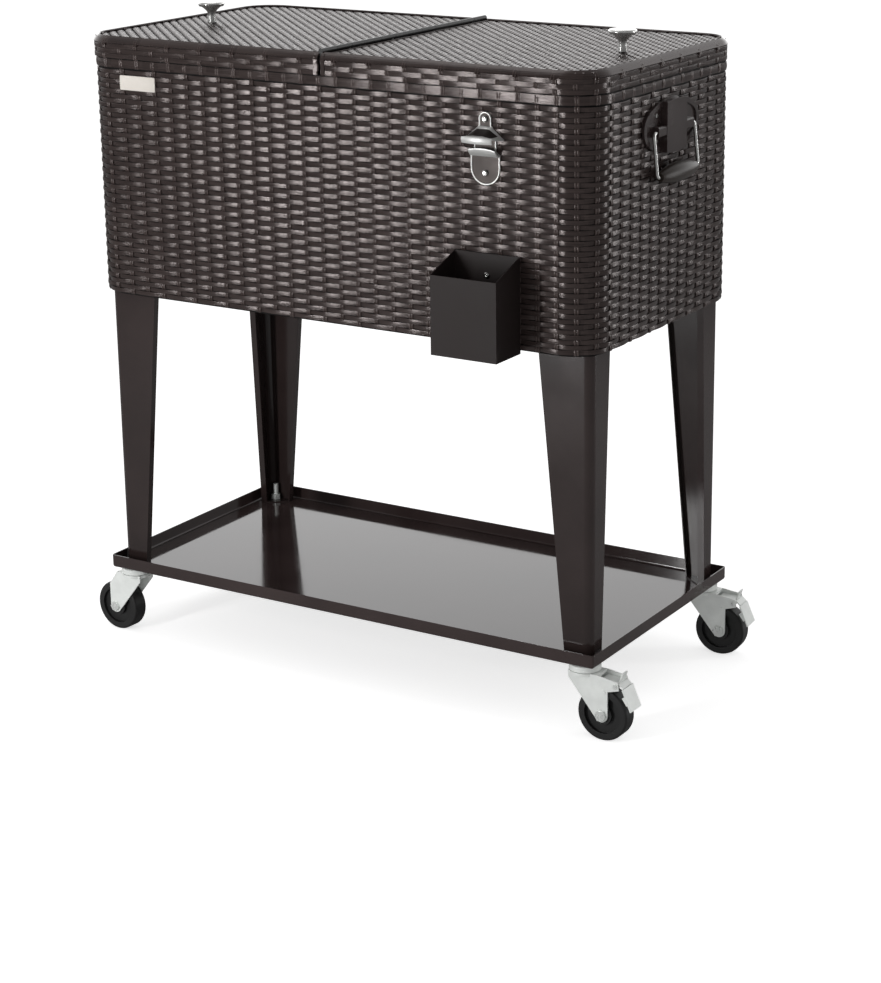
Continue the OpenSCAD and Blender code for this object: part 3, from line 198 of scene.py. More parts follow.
class Recipe:
    """A node tree while it is built, one node after the other."""

    def __init__(self, tree):
        self.tree = tree

    def feed(self, socket, value):
        """Gives a socket a value, or a link from a node or from another socket."""
        if value is None:
            return
        if isinstance(value, bpy.types.Node):
            value = value.outputs[0]
        if isinstance(value, bpy.types.NodeSocket):
            self.tree.links.new(value, socket)
        else:
            socket.default_value = value

    def node(self, kind, *values, **settings):
        """Adds a node. The values feed its inputs in order, and None leaves one alone."""
        made = self.tree.nodes.new(kind)
        for setting, value in settings.items():
            setattr(made, setting, value)
        for socket, value in zip(made.inputs, values):
            self.feed(socket, value)
        return made

    def math(self, operation, *values):
        """One step of arithmetic."""
        return self.node("ShaderNodeMath", *values, operation=operation).outputs[0]

    def vector(self, operation, *values):
        """One step of arithmetic on vectors."""
        return self.node("ShaderNodeVectorMath", *values, operation=operation).outputs[0]

    def scaled(self, vector, factor):
        """A vector times a number."""
        made = self.node("ShaderNodeVectorMath", vector, operation="SCALE")
        self.feed(made.inputs["Scale"], factor)
        return made.outputs[0]

    def triple(self, x, y, z):
        """A vector from three numbers."""
        return self.node("ShaderNodeCombineXYZ", x, y, z).outputs[0]

    def split(self, vector):
        """The three numbers of a vector."""
        return self.node("ShaderNodeSeparateXYZ", vector).outputs


def new_tree(name, kind, inputs, outputs):
    """An empty node group with named inputs and outputs: (recipe, its inputs, its output node)."""
    tree = bpy.data.node_groups.new(name, kind)
    for label, socket_type in inputs:
        tree.interface.new_socket(name=label, in_out="INPUT", socket_type=socket_type)
    for label, socket_type in outputs:
        tree.interface.new_socket(name=label, in_out="OUTPUT", socket_type=socket_type)
    recipe = Recipe(tree)
    given = tree.nodes.new("NodeGroupInput").outputs
    return recipe, given, tree.nodes.new("NodeGroupOutput")


NUMBER = "NodeSocketFloat"
WHOLE = "NodeSocketInt"
VECTOR = "NodeSocketVector"
SHAPE = "NodeSocketGeometry"
PAINT = "NodeSocketMaterial"


def ribbon(recipe, path, width, thickness, lean):
    """A flat strap with a soft crown along a path. Lean turns its face from upright to level."""
    level = recipe.node("GeometryNodeSetCurveNormal", path, mode="Z_UP")
    ring = recipe.node("GeometryNodeCurvePrimitiveCircle", 6, mode="RADIUS")
    recipe.feed(ring.inputs["Radius"], 1.0)
    place = recipe.node("GeometryNodeInputPosition")
    hexagon_width = 2 * math.sin(math.radians(60))
    flat = recipe.triple(recipe.math("MULTIPLY", thickness, 0.5),
                         recipe.math("DIVIDE", width, hexagon_width), 1.0)
    sized = recipe.node("GeometryNodeSetPosition", ring, None,
                        recipe.vector("MULTIPLY", place, flat))
    turned = recipe.node("GeometryNodeTransform", sized)
    recipe.feed(turned.inputs["Rotation"],
                recipe.triple(0.0, 0.0, recipe.math("MULTIPLY", lean, -1.0)))
    band = recipe.node("GeometryNodeCurveToMesh", level, turned)
    recipe.feed(band.inputs["Fill Caps"], True)
    return band


def wave(recipe, column):
    """Over and under: 1 at even columns, bowed down to -1 at odd ones, steepest there."""
    soft_tip = 0.995
    bow = 1.8
    turn = recipe.math("COSINE", recipe.math("MULTIPLY", column, math.pi))
    away = recipe.math("DIVIDE", recipe.math("ARCCOSINE", recipe.math(
        "MULTIPLY", turn, soft_tip)), math.pi)
    return recipe.math("SUBTRACT", 1.0, recipe.math("MULTIPLY", 2.0, recipe.math(
        "POWER", away, bow)))


def outward(recipe, tangent):
    """The level direction that points away from the cart."""
    return recipe.vector("NORMALIZE", recipe.vector("CROSS_PRODUCT", tangent, tuple(UP)))


def finished(recipe, shape, material, out):
    """Ends a tree of geometry nodes: real geometry, smooth, with its material."""
    real = recipe.node("GeometryNodeRealizeInstances", shape)
    even = recipe.node("GeometryNodeSetShadeSmooth", real)
    angle = recipe.node("GeometryNodeInputMeshEdgeAngle").outputs["Unsigned Angle"]
    smooth = recipe.node("GeometryNodeSetShadeSmooth", even,
                         recipe.math("GREATER_THAN", angle, math.radians(50)), False,
                         domain="EDGE")
    painted = recipe.node("GeometryNodeSetMaterial", smooth, None, material)
    recipe.feed(out.inputs[0], painted)


def straps_round_tree():
    """Straps that run round an outline, row under row, weaving in and out between columns."""
    recipe, given, out = new_tree("Straps round an outline", "GeometryNodeTree", [
        ("Outline", SHAPE), ("Corner", NUMBER), ("Points", WHOLE), ("Steps", NUMBER),
        ("Phase", NUMBER), ("Swing", NUMBER), ("Depth", NUMBER), ("Width", NUMBER),
        ("Thickness", NUMBER), ("Lean", NUMBER), ("Rows", WHOLE), ("First row", NUMBER),
        ("Row step", NUMBER), ("Finish", PAINT)], [("Straps", SHAPE)])
    curve = recipe.node("GeometryNodeMeshToCurve", given["Outline"])
    soft = recipe.node("GeometryNodeFilletCurve", curve, 12, given["Corner"], mode="POLY")
    even = recipe.node("GeometryNodeResampleCurve", soft, None, given["Points"], mode="COUNT")
    column = recipe.math("ADD", recipe.math("DIVIDE", recipe.node("GeometryNodeInputIndex"),
                                            given["Steps"]), given["Phase"])
    away = outward(recipe, recipe.node("GeometryNodeInputTangent"))
    shift = recipe.math("SUBTRACT", recipe.math("MULTIPLY", wave(recipe, column), given["Swing"]),
                        given["Depth"])
    woven = recipe.node("GeometryNodeSetPosition", even)
    recipe.feed(woven.inputs["Offset"], recipe.scaled(away, shift))
    strap = ribbon(recipe, woven, given["Width"], given["Thickness"], given["Lean"])
    rows = recipe.node("GeometryNodeMeshLine", given["Rows"], None,
                       recipe.triple(0.0, 0.0, given["First row"]),
                       recipe.triple(0.0, 0.0, given["Row step"]), mode="OFFSET")
    stacked = recipe.node("GeometryNodeInstanceOnPoints", rows, None, strap)
    finished(recipe, stacked, given["Finish"], out)
    return recipe.tree


def bar_pair(recipe, given):
    """Two arched bars side by side, along local Y, with their crowns towards local Z."""
    half = recipe.math("MULTIPLY", given["Bar length"], 0.5)
    low = recipe.math("MULTIPLY", given["Rise"], -1.0)
    arch = recipe.node("GeometryNodeCurveQuadraticBezier", 3,
                       recipe.triple(0.0, recipe.math("MULTIPLY", half, -1.0), low),
                       recipe.triple(0.0, 0.0, given["Rise"]),
                       recipe.triple(0.0, half, low))
    bar = ribbon(recipe, arch, given["Rise"], given["Bar width"], 0.0)
    join = recipe.node("GeometryNodeJoinGeometry")
    for side in (-0.5, 0.5):
        moved = recipe.node("GeometryNodeTransform", bar)
        recipe.feed(moved.inputs["Translation"],
                    recipe.triple(recipe.math("MULTIPLY", given["Bar gap"], side), 0.0, 0.0))
        recipe.feed(join.inputs[0], moved)
    return join


BAR_INPUTS = [("Bar length", NUMBER), ("Bar width", NUMBER), ("Bar gap", NUMBER),
              ("Rise", NUMBER), ("Depth", NUMBER), ("Finish", PAINT)]


def bars_round_tree():
    """Pairs of bars that stand on an outline, row under row, and cross over the straps."""
    recipe, given, out = new_tree("Bars round an outline", "GeometryNodeTree", [
        ("Outline", SHAPE), ("Corner", NUMBER), ("Columns", NUMBER), ("Bars", WHOLE),
        ("Every", NUMBER), ("Stagger", NUMBER), ("Phase", NUMBER), ("Rows", WHOLE),
        ("First row", NUMBER), ("Row step", NUMBER), ("Lean", NUMBER)] + BAR_INPUTS,
        [("Bars", SHAPE)])
    curve = recipe.node("GeometryNodeMeshToCurve", given["Outline"])
    soft = recipe.node("GeometryNodeFilletCurve", curve, 12, given["Corner"], mode="POLY")
    total = recipe.math("MULTIPLY", given["Bars"], given["Rows"])
    line = recipe.node("GeometryNodeMeshLine", total, mode="OFFSET")
    index = recipe.node("GeometryNodeInputIndex")
    row = recipe.math("FLOOR", recipe.math("DIVIDE", index, given["Bars"]))
    place = recipe.math("SUBTRACT", index, recipe.math("MULTIPLY", row, given["Bars"]))
    odd = recipe.math("MULTIPLY", recipe.math("FLOORED_MODULO", row, 2.0), given["Stagger"])
    column = recipe.math("ADD", recipe.math("MULTIPLY", place, given["Every"]),
                         recipe.math("ADD", odd, given["Phase"]))
    factor = recipe.math("DIVIDE", column, given["Columns"])
    sample = recipe.node("GeometryNodeSampleCurve", soft, None, factor, mode="FACTOR",
                         use_all_curves=True)
    away = outward(recipe, sample.outputs["Tangent"])
    facing = recipe.vector("ADD", recipe.scaled(away, recipe.math("COSINE", given["Lean"])),
                           recipe.triple(0.0, 0.0, recipe.math("SINE", given["Lean"])))
    level = recipe.math("ADD", given["First row"],
                        recipe.math("MULTIPLY", row, given["Row step"]))
    spot = recipe.vector("ADD", sample.outputs["Position"], recipe.triple(0.0, 0.0, level))
    spot = recipe.vector("SUBTRACT", spot, recipe.scaled(facing, given["Depth"]))
    turn = recipe.node("FunctionNodeAxesToRotation", facing, sample.outputs["Tangent"],
                       primary_axis="Z", secondary_axis="X")
    saved = recipe.node("GeometryNodeStoreNamedAttribute", line, data_type="QUATERNION",
                        domain="POINT")
    recipe.feed(saved.inputs["Name"], "turn")
    recipe.feed(saved.inputs["Value"], turn)
    set_place = recipe.node("GeometryNodeSetPosition", saved, None, spot)
    outside = recipe.math("GREATER_THAN", recipe.math("ABSOLUTE", recipe.math(
        "SUBTRACT", factor, 0.5)), 0.5)
    kept = recipe.node("GeometryNodeDeleteGeometry", set_place, outside, domain="POINT")
    read = recipe.node("GeometryNodeInputNamedAttribute", "turn", data_type="QUATERNION")
    placed = recipe.node("GeometryNodeInstanceOnPoints", kept, None, bar_pair(recipe, given))
    recipe.feed(placed.inputs["Rotation"], read)
    finished(recipe, placed, given["Finish"], out)
    return recipe.tree


def lid_edge(recipe, given, reach):
    """How far a lid's top reaches along Y at a distance from the seam, corners rounded."""
    inner = recipe.math("SUBTRACT", given["Outer"], given["Corner"])
    past = recipe.math("MAXIMUM", recipe.math("SUBTRACT", reach, inner), 0.0)
    rest = recipe.math("SUBTRACT", recipe.math("POWER", given["Corner"], 2.0),
                       recipe.math("POWER", past, 2.0))
    depth = recipe.math("SUBTRACT", given["Corner"],
                        recipe.math("SQRT", recipe.math("MAXIMUM", rest, 0.0)))
    return recipe.math("SUBTRACT", given["Half across"], depth)


LID_INPUTS = [("Side", NUMBER), ("Seam", NUMBER), ("Outer", NUMBER), ("Half across", NUMBER),
              ("Corner", NUMBER), ("Row pitch", NUMBER), ("Column pitch", NUMBER),
              ("Centre", VECTOR)]


def straps_over_lid_tree():
    """Straps side by side over a lid's top, from its front edge to its back edge."""
    recipe, given, out = new_tree("Straps over a lid", "GeometryNodeTree", [
        ("Base", SHAPE), ("Rows", WHOLE), ("Points", WHOLE), ("Swing", NUMBER),
        ("Width", NUMBER), ("Thickness", NUMBER), ("Depth", NUMBER),
        ("Finish", PAINT)] + LID_INPUTS, [("Straps", SHAPE)])
    unit = recipe.node("GeometryNodeCurvePrimitiveLine", (-1.0, 0.0, 0.0), (1.0, 0.0, 0.0))
    fine = recipe.node("GeometryNodeResampleCurve", unit, None, given["Points"], mode="COUNT")
    rows = recipe.node("GeometryNodeMeshLine", given["Rows"], None, (0.0, 0.0, 0.0),
                       recipe.triple(0.0, given["Row pitch"], 0.0), mode="OFFSET")
    lines = recipe.node("GeometryNodeInstanceOnPoints", rows, None, fine)
    real = recipe.node("GeometryNodeRealizeInstances", lines)
    along, across, _ = recipe.split(recipe.node("GeometryNodeInputPosition"))
    reach = recipe.math("ADD", given["Seam"], across)
    y = recipe.math("MULTIPLY", along, lid_edge(recipe, given, reach))
    row = recipe.math("ROUND", recipe.math("DIVIDE", across, given["Row pitch"]))
    column = recipe.math("ADD", row, recipe.math("DIVIDE", y, given["Column pitch"]))
    z = recipe.math("SUBTRACT", recipe.math("MULTIPLY", wave(recipe, column), given["Swing"]),
                    given["Depth"])
    x = recipe.math("MULTIPLY", reach, given["Side"])
    spot = recipe.vector("ADD", recipe.triple(x, y, z), given["Centre"])
    woven = recipe.node("GeometryNodeSetPosition", real, None, spot)
    strap = ribbon(recipe, woven, given["Width"], given["Thickness"], math.radians(90))
    finished(recipe, strap, given["Finish"], out)
    return recipe.tree


def bars_over_lid_tree():
    """Pairs of bars over a lid's top, one strap wide, staggered from strap to strap."""
    recipe, given, out = new_tree("Bars over a lid", "GeometryNodeTree", [
        ("Base", SHAPE), ("Rows", WHOLE), ("Bars", WHOLE)] + BAR_INPUTS + LID_INPUTS,
        [("Bars", SHAPE)])
    total = recipe.math("MULTIPLY", given["Bars"], given["Rows"])
    line = recipe.node("GeometryNodeMeshLine", total, mode="OFFSET")
    index = recipe.node("GeometryNodeInputIndex")
    row = recipe.math("FLOOR", recipe.math("DIVIDE", index, given["Bars"]))
    place = recipe.math("SUBTRACT", index, recipe.math("MULTIPLY", row, given["Bars"]))
    reach = recipe.math("ADD", given["Seam"], recipe.math("MULTIPLY", row, given["Row pitch"]))
    even = recipe.math("SUBTRACT", 1.0, recipe.math("FLOORED_MODULO", row, 2.0))
    half = recipe.math("FLOOR", recipe.math("DIVIDE", given["Bars"], 2.0))
    column = recipe.math("ADD", even, recipe.math("MULTIPLY", 2.0, recipe.math(
        "SUBTRACT", place, half)))
    y = recipe.math("MULTIPLY", column, given["Column pitch"])
    past_end = recipe.math("GREATER_THAN", recipe.math("ADD", recipe.math("ABSOLUTE", y),
                                                       given["Bar gap"]),
                           lid_edge(recipe, given, reach))
    spot = recipe.vector("ADD", recipe.triple(
        recipe.math("MULTIPLY", reach, given["Side"]), y,
        recipe.math("MULTIPLY", given["Depth"], -1.0)), given["Centre"])
    set_place = recipe.node("GeometryNodeSetPosition", line, None, spot)
    kept = recipe.node("GeometryNodeDeleteGeometry", set_place, past_end, domain="POINT")
    placed = recipe.node("GeometryNodeInstanceOnPoints", kept, None, bar_pair(recipe, given))
    recipe.feed(placed.inputs["Rotation"], (0.0, 0.0, math.pi / 2))
    finished(recipe, placed, given["Finish"], out)
    return recipe.tree


TREES = {}


def tree_of(make):
    """A node group by the function that makes it. Each is built once."""
    if make not in TREES:
        TREES[make] = make()
    return TREES[make]


def new_object(name, mesh):
    """A mesh in the scene, with its object at the origin."""
    made = bpy.data.objects.new(name, mesh)
    bpy.context.scene.collection.objects.link(made)
    return made


def evaluated_mesh(made):
    """The mesh that an object's modifiers give, as plain data."""
    bpy.context.view_layer.update()
    graph = bpy.context.evaluated_depsgraph_get()
    return bpy.data.meshes.new_from_object(made.evaluated_get(graph))


def grown(name, make, outline, values):
    """Runs a tree of geometry nodes and keeps what it makes as a plain mesh."""
    made = new_object(name, outline)
    modifier = made.modifiers.new("Shape", "NODES")
    modifier.node_group = tree_of(make)
    sockets = {item.name: item for item in modifier.node_group.interface.items_tree
               if item.in_out == "INPUT"}
    for label, value in values.items():
        modifier[sockets[label].identifier] = value
    mesh = evaluated_mesh(made)
    made.modifiers.remove(modifier)
    made.data = mesh
    bpy.data.meshes.remove(outline)
    mesh.name = name
    outwards(mesh)
    return made


def outwards(mesh):
    """Turns closed shells that came out inside out."""
    shape = bmesh.new()
    shape.from_mesh(mesh)
    if shape.calc_volume(signed=True) < 0:
        bmesh.ops.reverse_faces(shape, faces=shape.faces)
        shape.to_mesh(mesh)
    shape.free()


def outline_mesh(points, closed):
    """A mesh of edges through points, for the trees that follow an outline."""
    mesh = bpy.data.meshes.new("outline")
    edges = [(i, i + 1) for i in range(len(points) - 1)]
    if closed:
        edges.append((len(points) - 1, 0))
    mesh.from_pydata([tuple(point) for point in points], edges, [])
    return mesh


def rectangle(half_x, half_y):
    """The body's outline seen from above, from the back right corner against the clock."""
    turns = ((1, 1), (-1, 1), (-1, -1), (1, -1))
    return outline_mesh([(MIDDLE.x + a * half_x, MIDDLE.y + b * half_y, 0)
                         for a, b in turns], True)


def lid_outline(side, half_x, half_y):
    """A lid's outline from the seam round its outer end, against the clock."""
    sign = 1 if side == "right" else -1
    corners = ((LID_SEAM, -half_y), (half_x, -half_y), (half_x, half_y), (LID_SEAM, half_y))
    return outline_mesh([(MIDDLE.x + sign * x, MIDDLE.y + sign * y, 0) for x, y in corners],
                        False)


def ridden(piece, body, slot, *replaced):
    """Hangs a piece on the empty of the body that it rides on, and hides the nodes that it stands
    for. Its slot is not used.
    """
    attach(piece, body)
    if replaced:
        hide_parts(*replaced)


def merged_copy(node):
    """A copy of a node's mesh with its loose triangles joined up."""
    shape = bmesh.new()
    shape.from_mesh(NODES[node].data)
    bmesh.ops.remove_doubles(shape, verts=shape.verts, dist=0.000002)
    return shape


def smooth(mesh, angle):
    """Smooth shading that keeps edges sharper than an angle."""
    mesh.polygons.foreach_set("use_smooth", [True] * len(mesh.polygons))
    mesh.set_sharp_from_angle(angle=math.radians(angle))


def dressed(node, slot, material, width):
    """A copy of a node with its edges rounded, which stands for it."""
    flat, bevelled, sharp = 0.3, 28, 32
    shape = merged_copy(node)
    bmesh.ops.dissolve_limit(shape, angle_limit=math.radians(flat), verts=shape.verts,
                             edges=shape.edges)
    mesh = bpy.data.meshes.new(node + "_finish")
    shape.to_mesh(mesh)
    shape.free()
    made = new_object(node + "_finish", mesh)
    made.data.materials.clear()
    made.data.materials.append(material)
    bevel = made.modifiers.new("Edges", "BEVEL")
    bevel.width = width
    bevel.segments = 2
    bevel.limit_method = "ANGLE"
    bevel.angle_limit = math.radians(bevelled)
    made.data = evaluated_mesh(made)
    made.modifiers.clear()
    smooth(made.data, sharp)
    weight = made.modifiers.new("Flat faces", "WEIGHTED_NORMAL")
    weight.keep_sharp = True
    made.data = evaluated_mesh(made)
    made.modifiers.clear()
    ridden(made, BODY_OF[node], slot, node)


def side_of(from_middle, over):
    """The level direction out of a rounded rectangle at a point past its inner corner."""
    away = over.normalized() if over.length else Vector((0, 0))
    return Vector((math.copysign(away.x, from_middle.x), math.copysign(away.y, from_middle.y)))


def set_in(node, slot, material, half, corner, round_off, top, depth):
    """A copy of a shell whose outer skin is set back, as the backing behind a weave."""
    shape = merged_copy(node)
    low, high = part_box(node)
    middle = MIDDLE.xy
    inner = Vector((half.x - corner, half.y - corner))
    for vertex in shape.verts:
        from_middle = vertex.co.xy - middle
        over = Vector((max(abs(from_middle.x) - inner.x, 0), max(abs(from_middle.y) - inner.y, 0)))
        skin = over.length - corner
        if over.length == 0:
            skin = max(abs(from_middle.x) - half.x, abs(from_middle.y) - half.y)
        side = side_of(from_middle, over)
        end = vertex.co.z - high.z if top else low.z - vertex.co.z
        a = max(skin + round_off, 0)
        b = max(end + round_off, 0)
        outer = math.hypot(a, b) - round_off if round_off else skin
        if round_off == 0 and abs(skin) < ON_SKIN:
            vertex.co.xy -= side * depth
        elif abs(outer) < ON_SKIN and (a > 0 or b > 0):
            share = a / math.hypot(a, b)
            rise = b / math.hypot(a, b) if top else 0
            vertex.co.xy -= side * depth * share
            vertex.co.z -= depth * rise
    mesh = bpy.data.meshes.new(node + "_core")
    shape.to_mesh(mesh)
    shape.free()
    smooth(mesh, 30)
    made = new_object(node + "_core", mesh)
    made.data.materials.clear()
    made.data.materials.append(material)
    ridden(made, BODY_OF[node], slot, node)


def revolved(name, profile, sides, material):
    """A turned piece about local Z from a profile of (radius, height), closed at its poles."""
    shape = bmesh.new()
    rings = []
    for radius, height in profile:
        if radius <= 0:
            rings.append([shape.verts.new((0, 0, height))])
            continue
        rings.append([shape.verts.new((radius * math.cos(2 * math.pi * i / sides),
                                       radius * math.sin(2 * math.pi * i / sides), height))
                      for i in range(sides)])
    for lower, upper in zip(rings, rings[1:]):
        for i in range(sides):
            j = (i + 1) % sides
            corners = [lower[i % len(lower)], lower[j % len(lower)],
                       upper[j % len(upper)], upper[i % len(upper)]]
            unique = list(dict.fromkeys(corners))
            if len(unique) > 2:
                shape.faces.new(unique)
    bmesh.ops.recalc_face_normals(shape, faces=shape.faces)
    mesh = bpy.data.meshes.new(name)
    shape.to_mesh(mesh)
    shape.free()
    smooth(mesh, 40)
    mesh.materials.append(material)
    return mesh


def arc(centre_r, centre_z, radius, start, end, steps):
    """Points of a round stretch of a profile, angles in degrees."""
    angles = [math.radians(start + (end - start) * i / steps) for i in range(steps + 1)]
    return [(centre_r + radius * math.cos(a), centre_z + radius * math.sin(a)) for a in angles]


def streaks_group():
    """Long fine streaks, as drawn plastic or brushed metal has: a mask and a normal."""
    recipe, given, out = new_tree("Streaks", "ShaderNodeTree", [
        ("Stretch", VECTOR), ("Bump", NUMBER)], [("Mask", NUMBER), ("Normal", VECTOR)])
    place = recipe.node("ShaderNodeTexCoord").outputs["Object"]
    noise = recipe.node("ShaderNodeTexNoise", recipe.vector("MULTIPLY", place, given["Stretch"]))
    noise.inputs["Scale"].default_value = 1.0
    noise.inputs["Detail"].default_value = 3.0
    mask = recipe.node("ShaderNodeMapRange", noise.outputs[0], 0.3, 0.7, 0.0, 1.0).outputs[0]
    bump = recipe.node("ShaderNodeBump")
    recipe.feed(bump.inputs["Strength"], given["Bump"])
    bump.inputs["Distance"].default_value = 0.0003
    recipe.feed(bump.inputs["Height"], mask)
    recipe.feed(out.inputs["Mask"], mask)
    recipe.feed(out.inputs["Normal"], bump)
    return recipe.tree


def cells_group():
    """A different tint for each stretch of strap."""
    recipe, given, out = new_tree("Strap tints", "ShaderNodeTree", [("Cell", VECTOR)],
                                  [("Tint", NUMBER)])
    place = recipe.node("ShaderNodeTexCoord").outputs["Object"]
    cell = recipe.vector("FLOOR", recipe.vector("DIVIDE", place, given["Cell"]))
    tint = recipe.node("ShaderNodeTexWhiteNoise", cell, noise_dimensions="3D").outputs["Value"]
    recipe.feed(out.inputs["Tint"], tint)
    return recipe.tree


def grain_group():
    """Fine even grain with broad soft patches, as paint, rubber and castings have."""
    recipe, given, out = new_tree("Grain", "ShaderNodeTree", [
        ("Grain", NUMBER), ("Patches", NUMBER), ("Bump", NUMBER)],
        [("Mask", NUMBER), ("Patch", NUMBER), ("Normal", VECTOR)])
    place = recipe.node("ShaderNodeTexCoord").outputs["Object"]
    fine = recipe.node("ShaderNodeTexNoise", place)
    recipe.feed(fine.inputs["Scale"], given["Grain"])
    fine.inputs["Detail"].default_value = 4.0
    broad = recipe.node("ShaderNodeTexNoise", place)
    recipe.feed(broad.inputs["Scale"], given["Patches"])
    broad.inputs["Detail"].default_value = 5.0
    patch = recipe.node("ShaderNodeMapRange", broad.outputs[0], 0.35, 0.65, 0.0, 1.0)
    bump = recipe.node("ShaderNodeBump")
    recipe.feed(bump.inputs["Strength"], given["Bump"])
    bump.inputs["Distance"].default_value = 0.0002
    recipe.feed(bump.inputs["Height"], fine.outputs[0])
    recipe.feed(out.inputs["Mask"], fine.outputs[0])
    recipe.feed(out.inputs["Patch"], patch.outputs[0])
    recipe.feed(out.inputs["Normal"], bump)
    return recipe.tree


def shared(recipe, make, **values):
    """Places a shared shader group in a material with the material's own values."""
    placed = recipe.node("ShaderNodeGroup", node_tree=tree_of(make))
    for label, value in values.items():
        placed.inputs[label].default_value = value
    return placed.outputs


def toned(value, factor):
    """A colour made lighter or darker, as a material socket takes it."""
    return tuple(min(channel * factor, 1.0) for channel in value) + (1.0,)


def new_material(name, metallic=0.0, specular=0.5):
    """A material with its surface shader: (material, recipe, shader)."""
    material = bpy.data.materials.new(name)
    material.use_nodes = True
    recipe = Recipe(material.node_tree)
    shader = material.node_tree.nodes["Principled BSDF"]
    shader.inputs["Metallic"].default_value = metallic
    shader.inputs["Specular IOR Level"].default_value = specular
    return material, recipe, shader


def mixed(recipe, factor, dark, light):
    """A colour between two tones. The Mix node has sockets of their own for colours."""
    first_colour, second_colour, colour_result = 6, 7, 2
    mix = recipe.node("ShaderNodeMix", data_type="RGBA")
    recipe.feed(mix.inputs["Factor"], factor)
    mix.inputs[first_colour].default_value = dark
    mix.inputs[second_colour].default_value = light
    return mix.outputs[colour_result]


def ranged(recipe, value, low, high):
    """A mask turned into a range of values."""
    return recipe.node("ShaderNodeMapRange", value, 0.0, 1.0, low, high).outputs[0]


def woven_material(name, dark, light, stretch, cell, rough=(0.13, 0.21), specular=0.5):
    """Drawn plastic strap: fine streaks along it, and a tint of its own for each stretch."""
    material, recipe, shader = new_material(name, specular=specular)
    shader.inputs["Specular Tint"].default_value = (1.0, 0.9, 0.88, 1.0)
    streak = shared(recipe, streaks_group, Stretch=stretch, Bump=0.2)
    tint = shared(recipe, cells_group, Cell=cell)
    blend = recipe.math("ADD", recipe.math("MULTIPLY", streak["Mask"], 0.55),
                        recipe.math("MULTIPLY", tint["Tint"], 0.45))
    recipe.feed(shader.inputs["Base Color"], mixed(recipe, blend, toned(dark, 0.85),
                                                   toned(light, 1.0)))
    recipe.feed(shader.inputs["Roughness"], ranged(recipe, blend, *rough))
    recipe.feed(shader.inputs["Normal"], streak["Normal"])
    return material


def coated_material(name, base, rough, grain=900.0, bump=0.12, specular=0.5):
    """Paint, plastic or rubber: fine grain, broad soft patches, a slightly uneven gloss."""
    material, recipe, shader = new_material(name, specular=specular)
    skin = shared(recipe, grain_group, Grain=grain, Patches=9.0, Bump=bump)
    recipe.feed(shader.inputs["Base Color"], mixed(recipe, skin["Patch"], toned(base, 0.86),
                                                   toned(base, 1.14)))
    uneven = recipe.math("ADD", recipe.math("MULTIPLY", skin["Patch"], 0.6),
                         recipe.math("MULTIPLY", skin["Mask"], 0.4))
    recipe.feed(shader.inputs["Roughness"], ranged(recipe, uneven, *rough))
    recipe.feed(shader.inputs["Normal"], skin["Normal"])
    return material


def metal_material(name, base, rough, stretch, metallic=1.0):
    """Bare metal: faint brushed streaks and soft handling marks in its gloss."""
    material, recipe, shader = new_material(name, metallic=metallic)
    brushed = shared(recipe, streaks_group, Stretch=stretch, Bump=0.06)
    skin = shared(recipe, grain_group, Grain=400.0, Patches=30.0, Bump=0.0)
    recipe.feed(shader.inputs["Base Color"], mixed(recipe, brushed["Mask"], toned(base, 0.9),
                                                   toned(base, 1.0)))
    uneven = recipe.math("ADD", recipe.math("MULTIPLY", brushed["Mask"], 0.5),
                         recipe.math("MULTIPLY", skin["Patch"], 0.5))
    recipe.feed(shader.inputs["Roughness"], ranged(recipe, uneven, *rough))
    recipe.feed(shader.inputs["Normal"], brushed["Normal"])
    return material


def foam_material(name, base):
    """Cut rigid foam: small cells with darker walls."""
    material, recipe, shader = new_material(name)
    place = recipe.node("ShaderNodeTexCoord").outputs["Object"]
    cells = recipe.node("ShaderNodeTexVoronoi", place)
    cells.inputs["Scale"].default_value = 700.0
    bump = recipe.node("ShaderNodeBump")
    bump.inputs["Strength"].default_value = 0.5
    bump.inputs["Distance"].default_value = 0.0005
    recipe.feed(bump.inputs["Height"], cells.outputs[0])
    recipe.feed(shader.inputs["Base Color"], mixed(recipe, cells.outputs[0], toned(base, 0.85),
                                                   toned(base, 1.05)))
    recipe.feed(shader.inputs["Roughness"], ranged(recipe, cells.outputs[0], 0.8, 0.95))
    recipe.feed(shader.inputs["Normal"], bump)
    return material


MATERIALS = {}


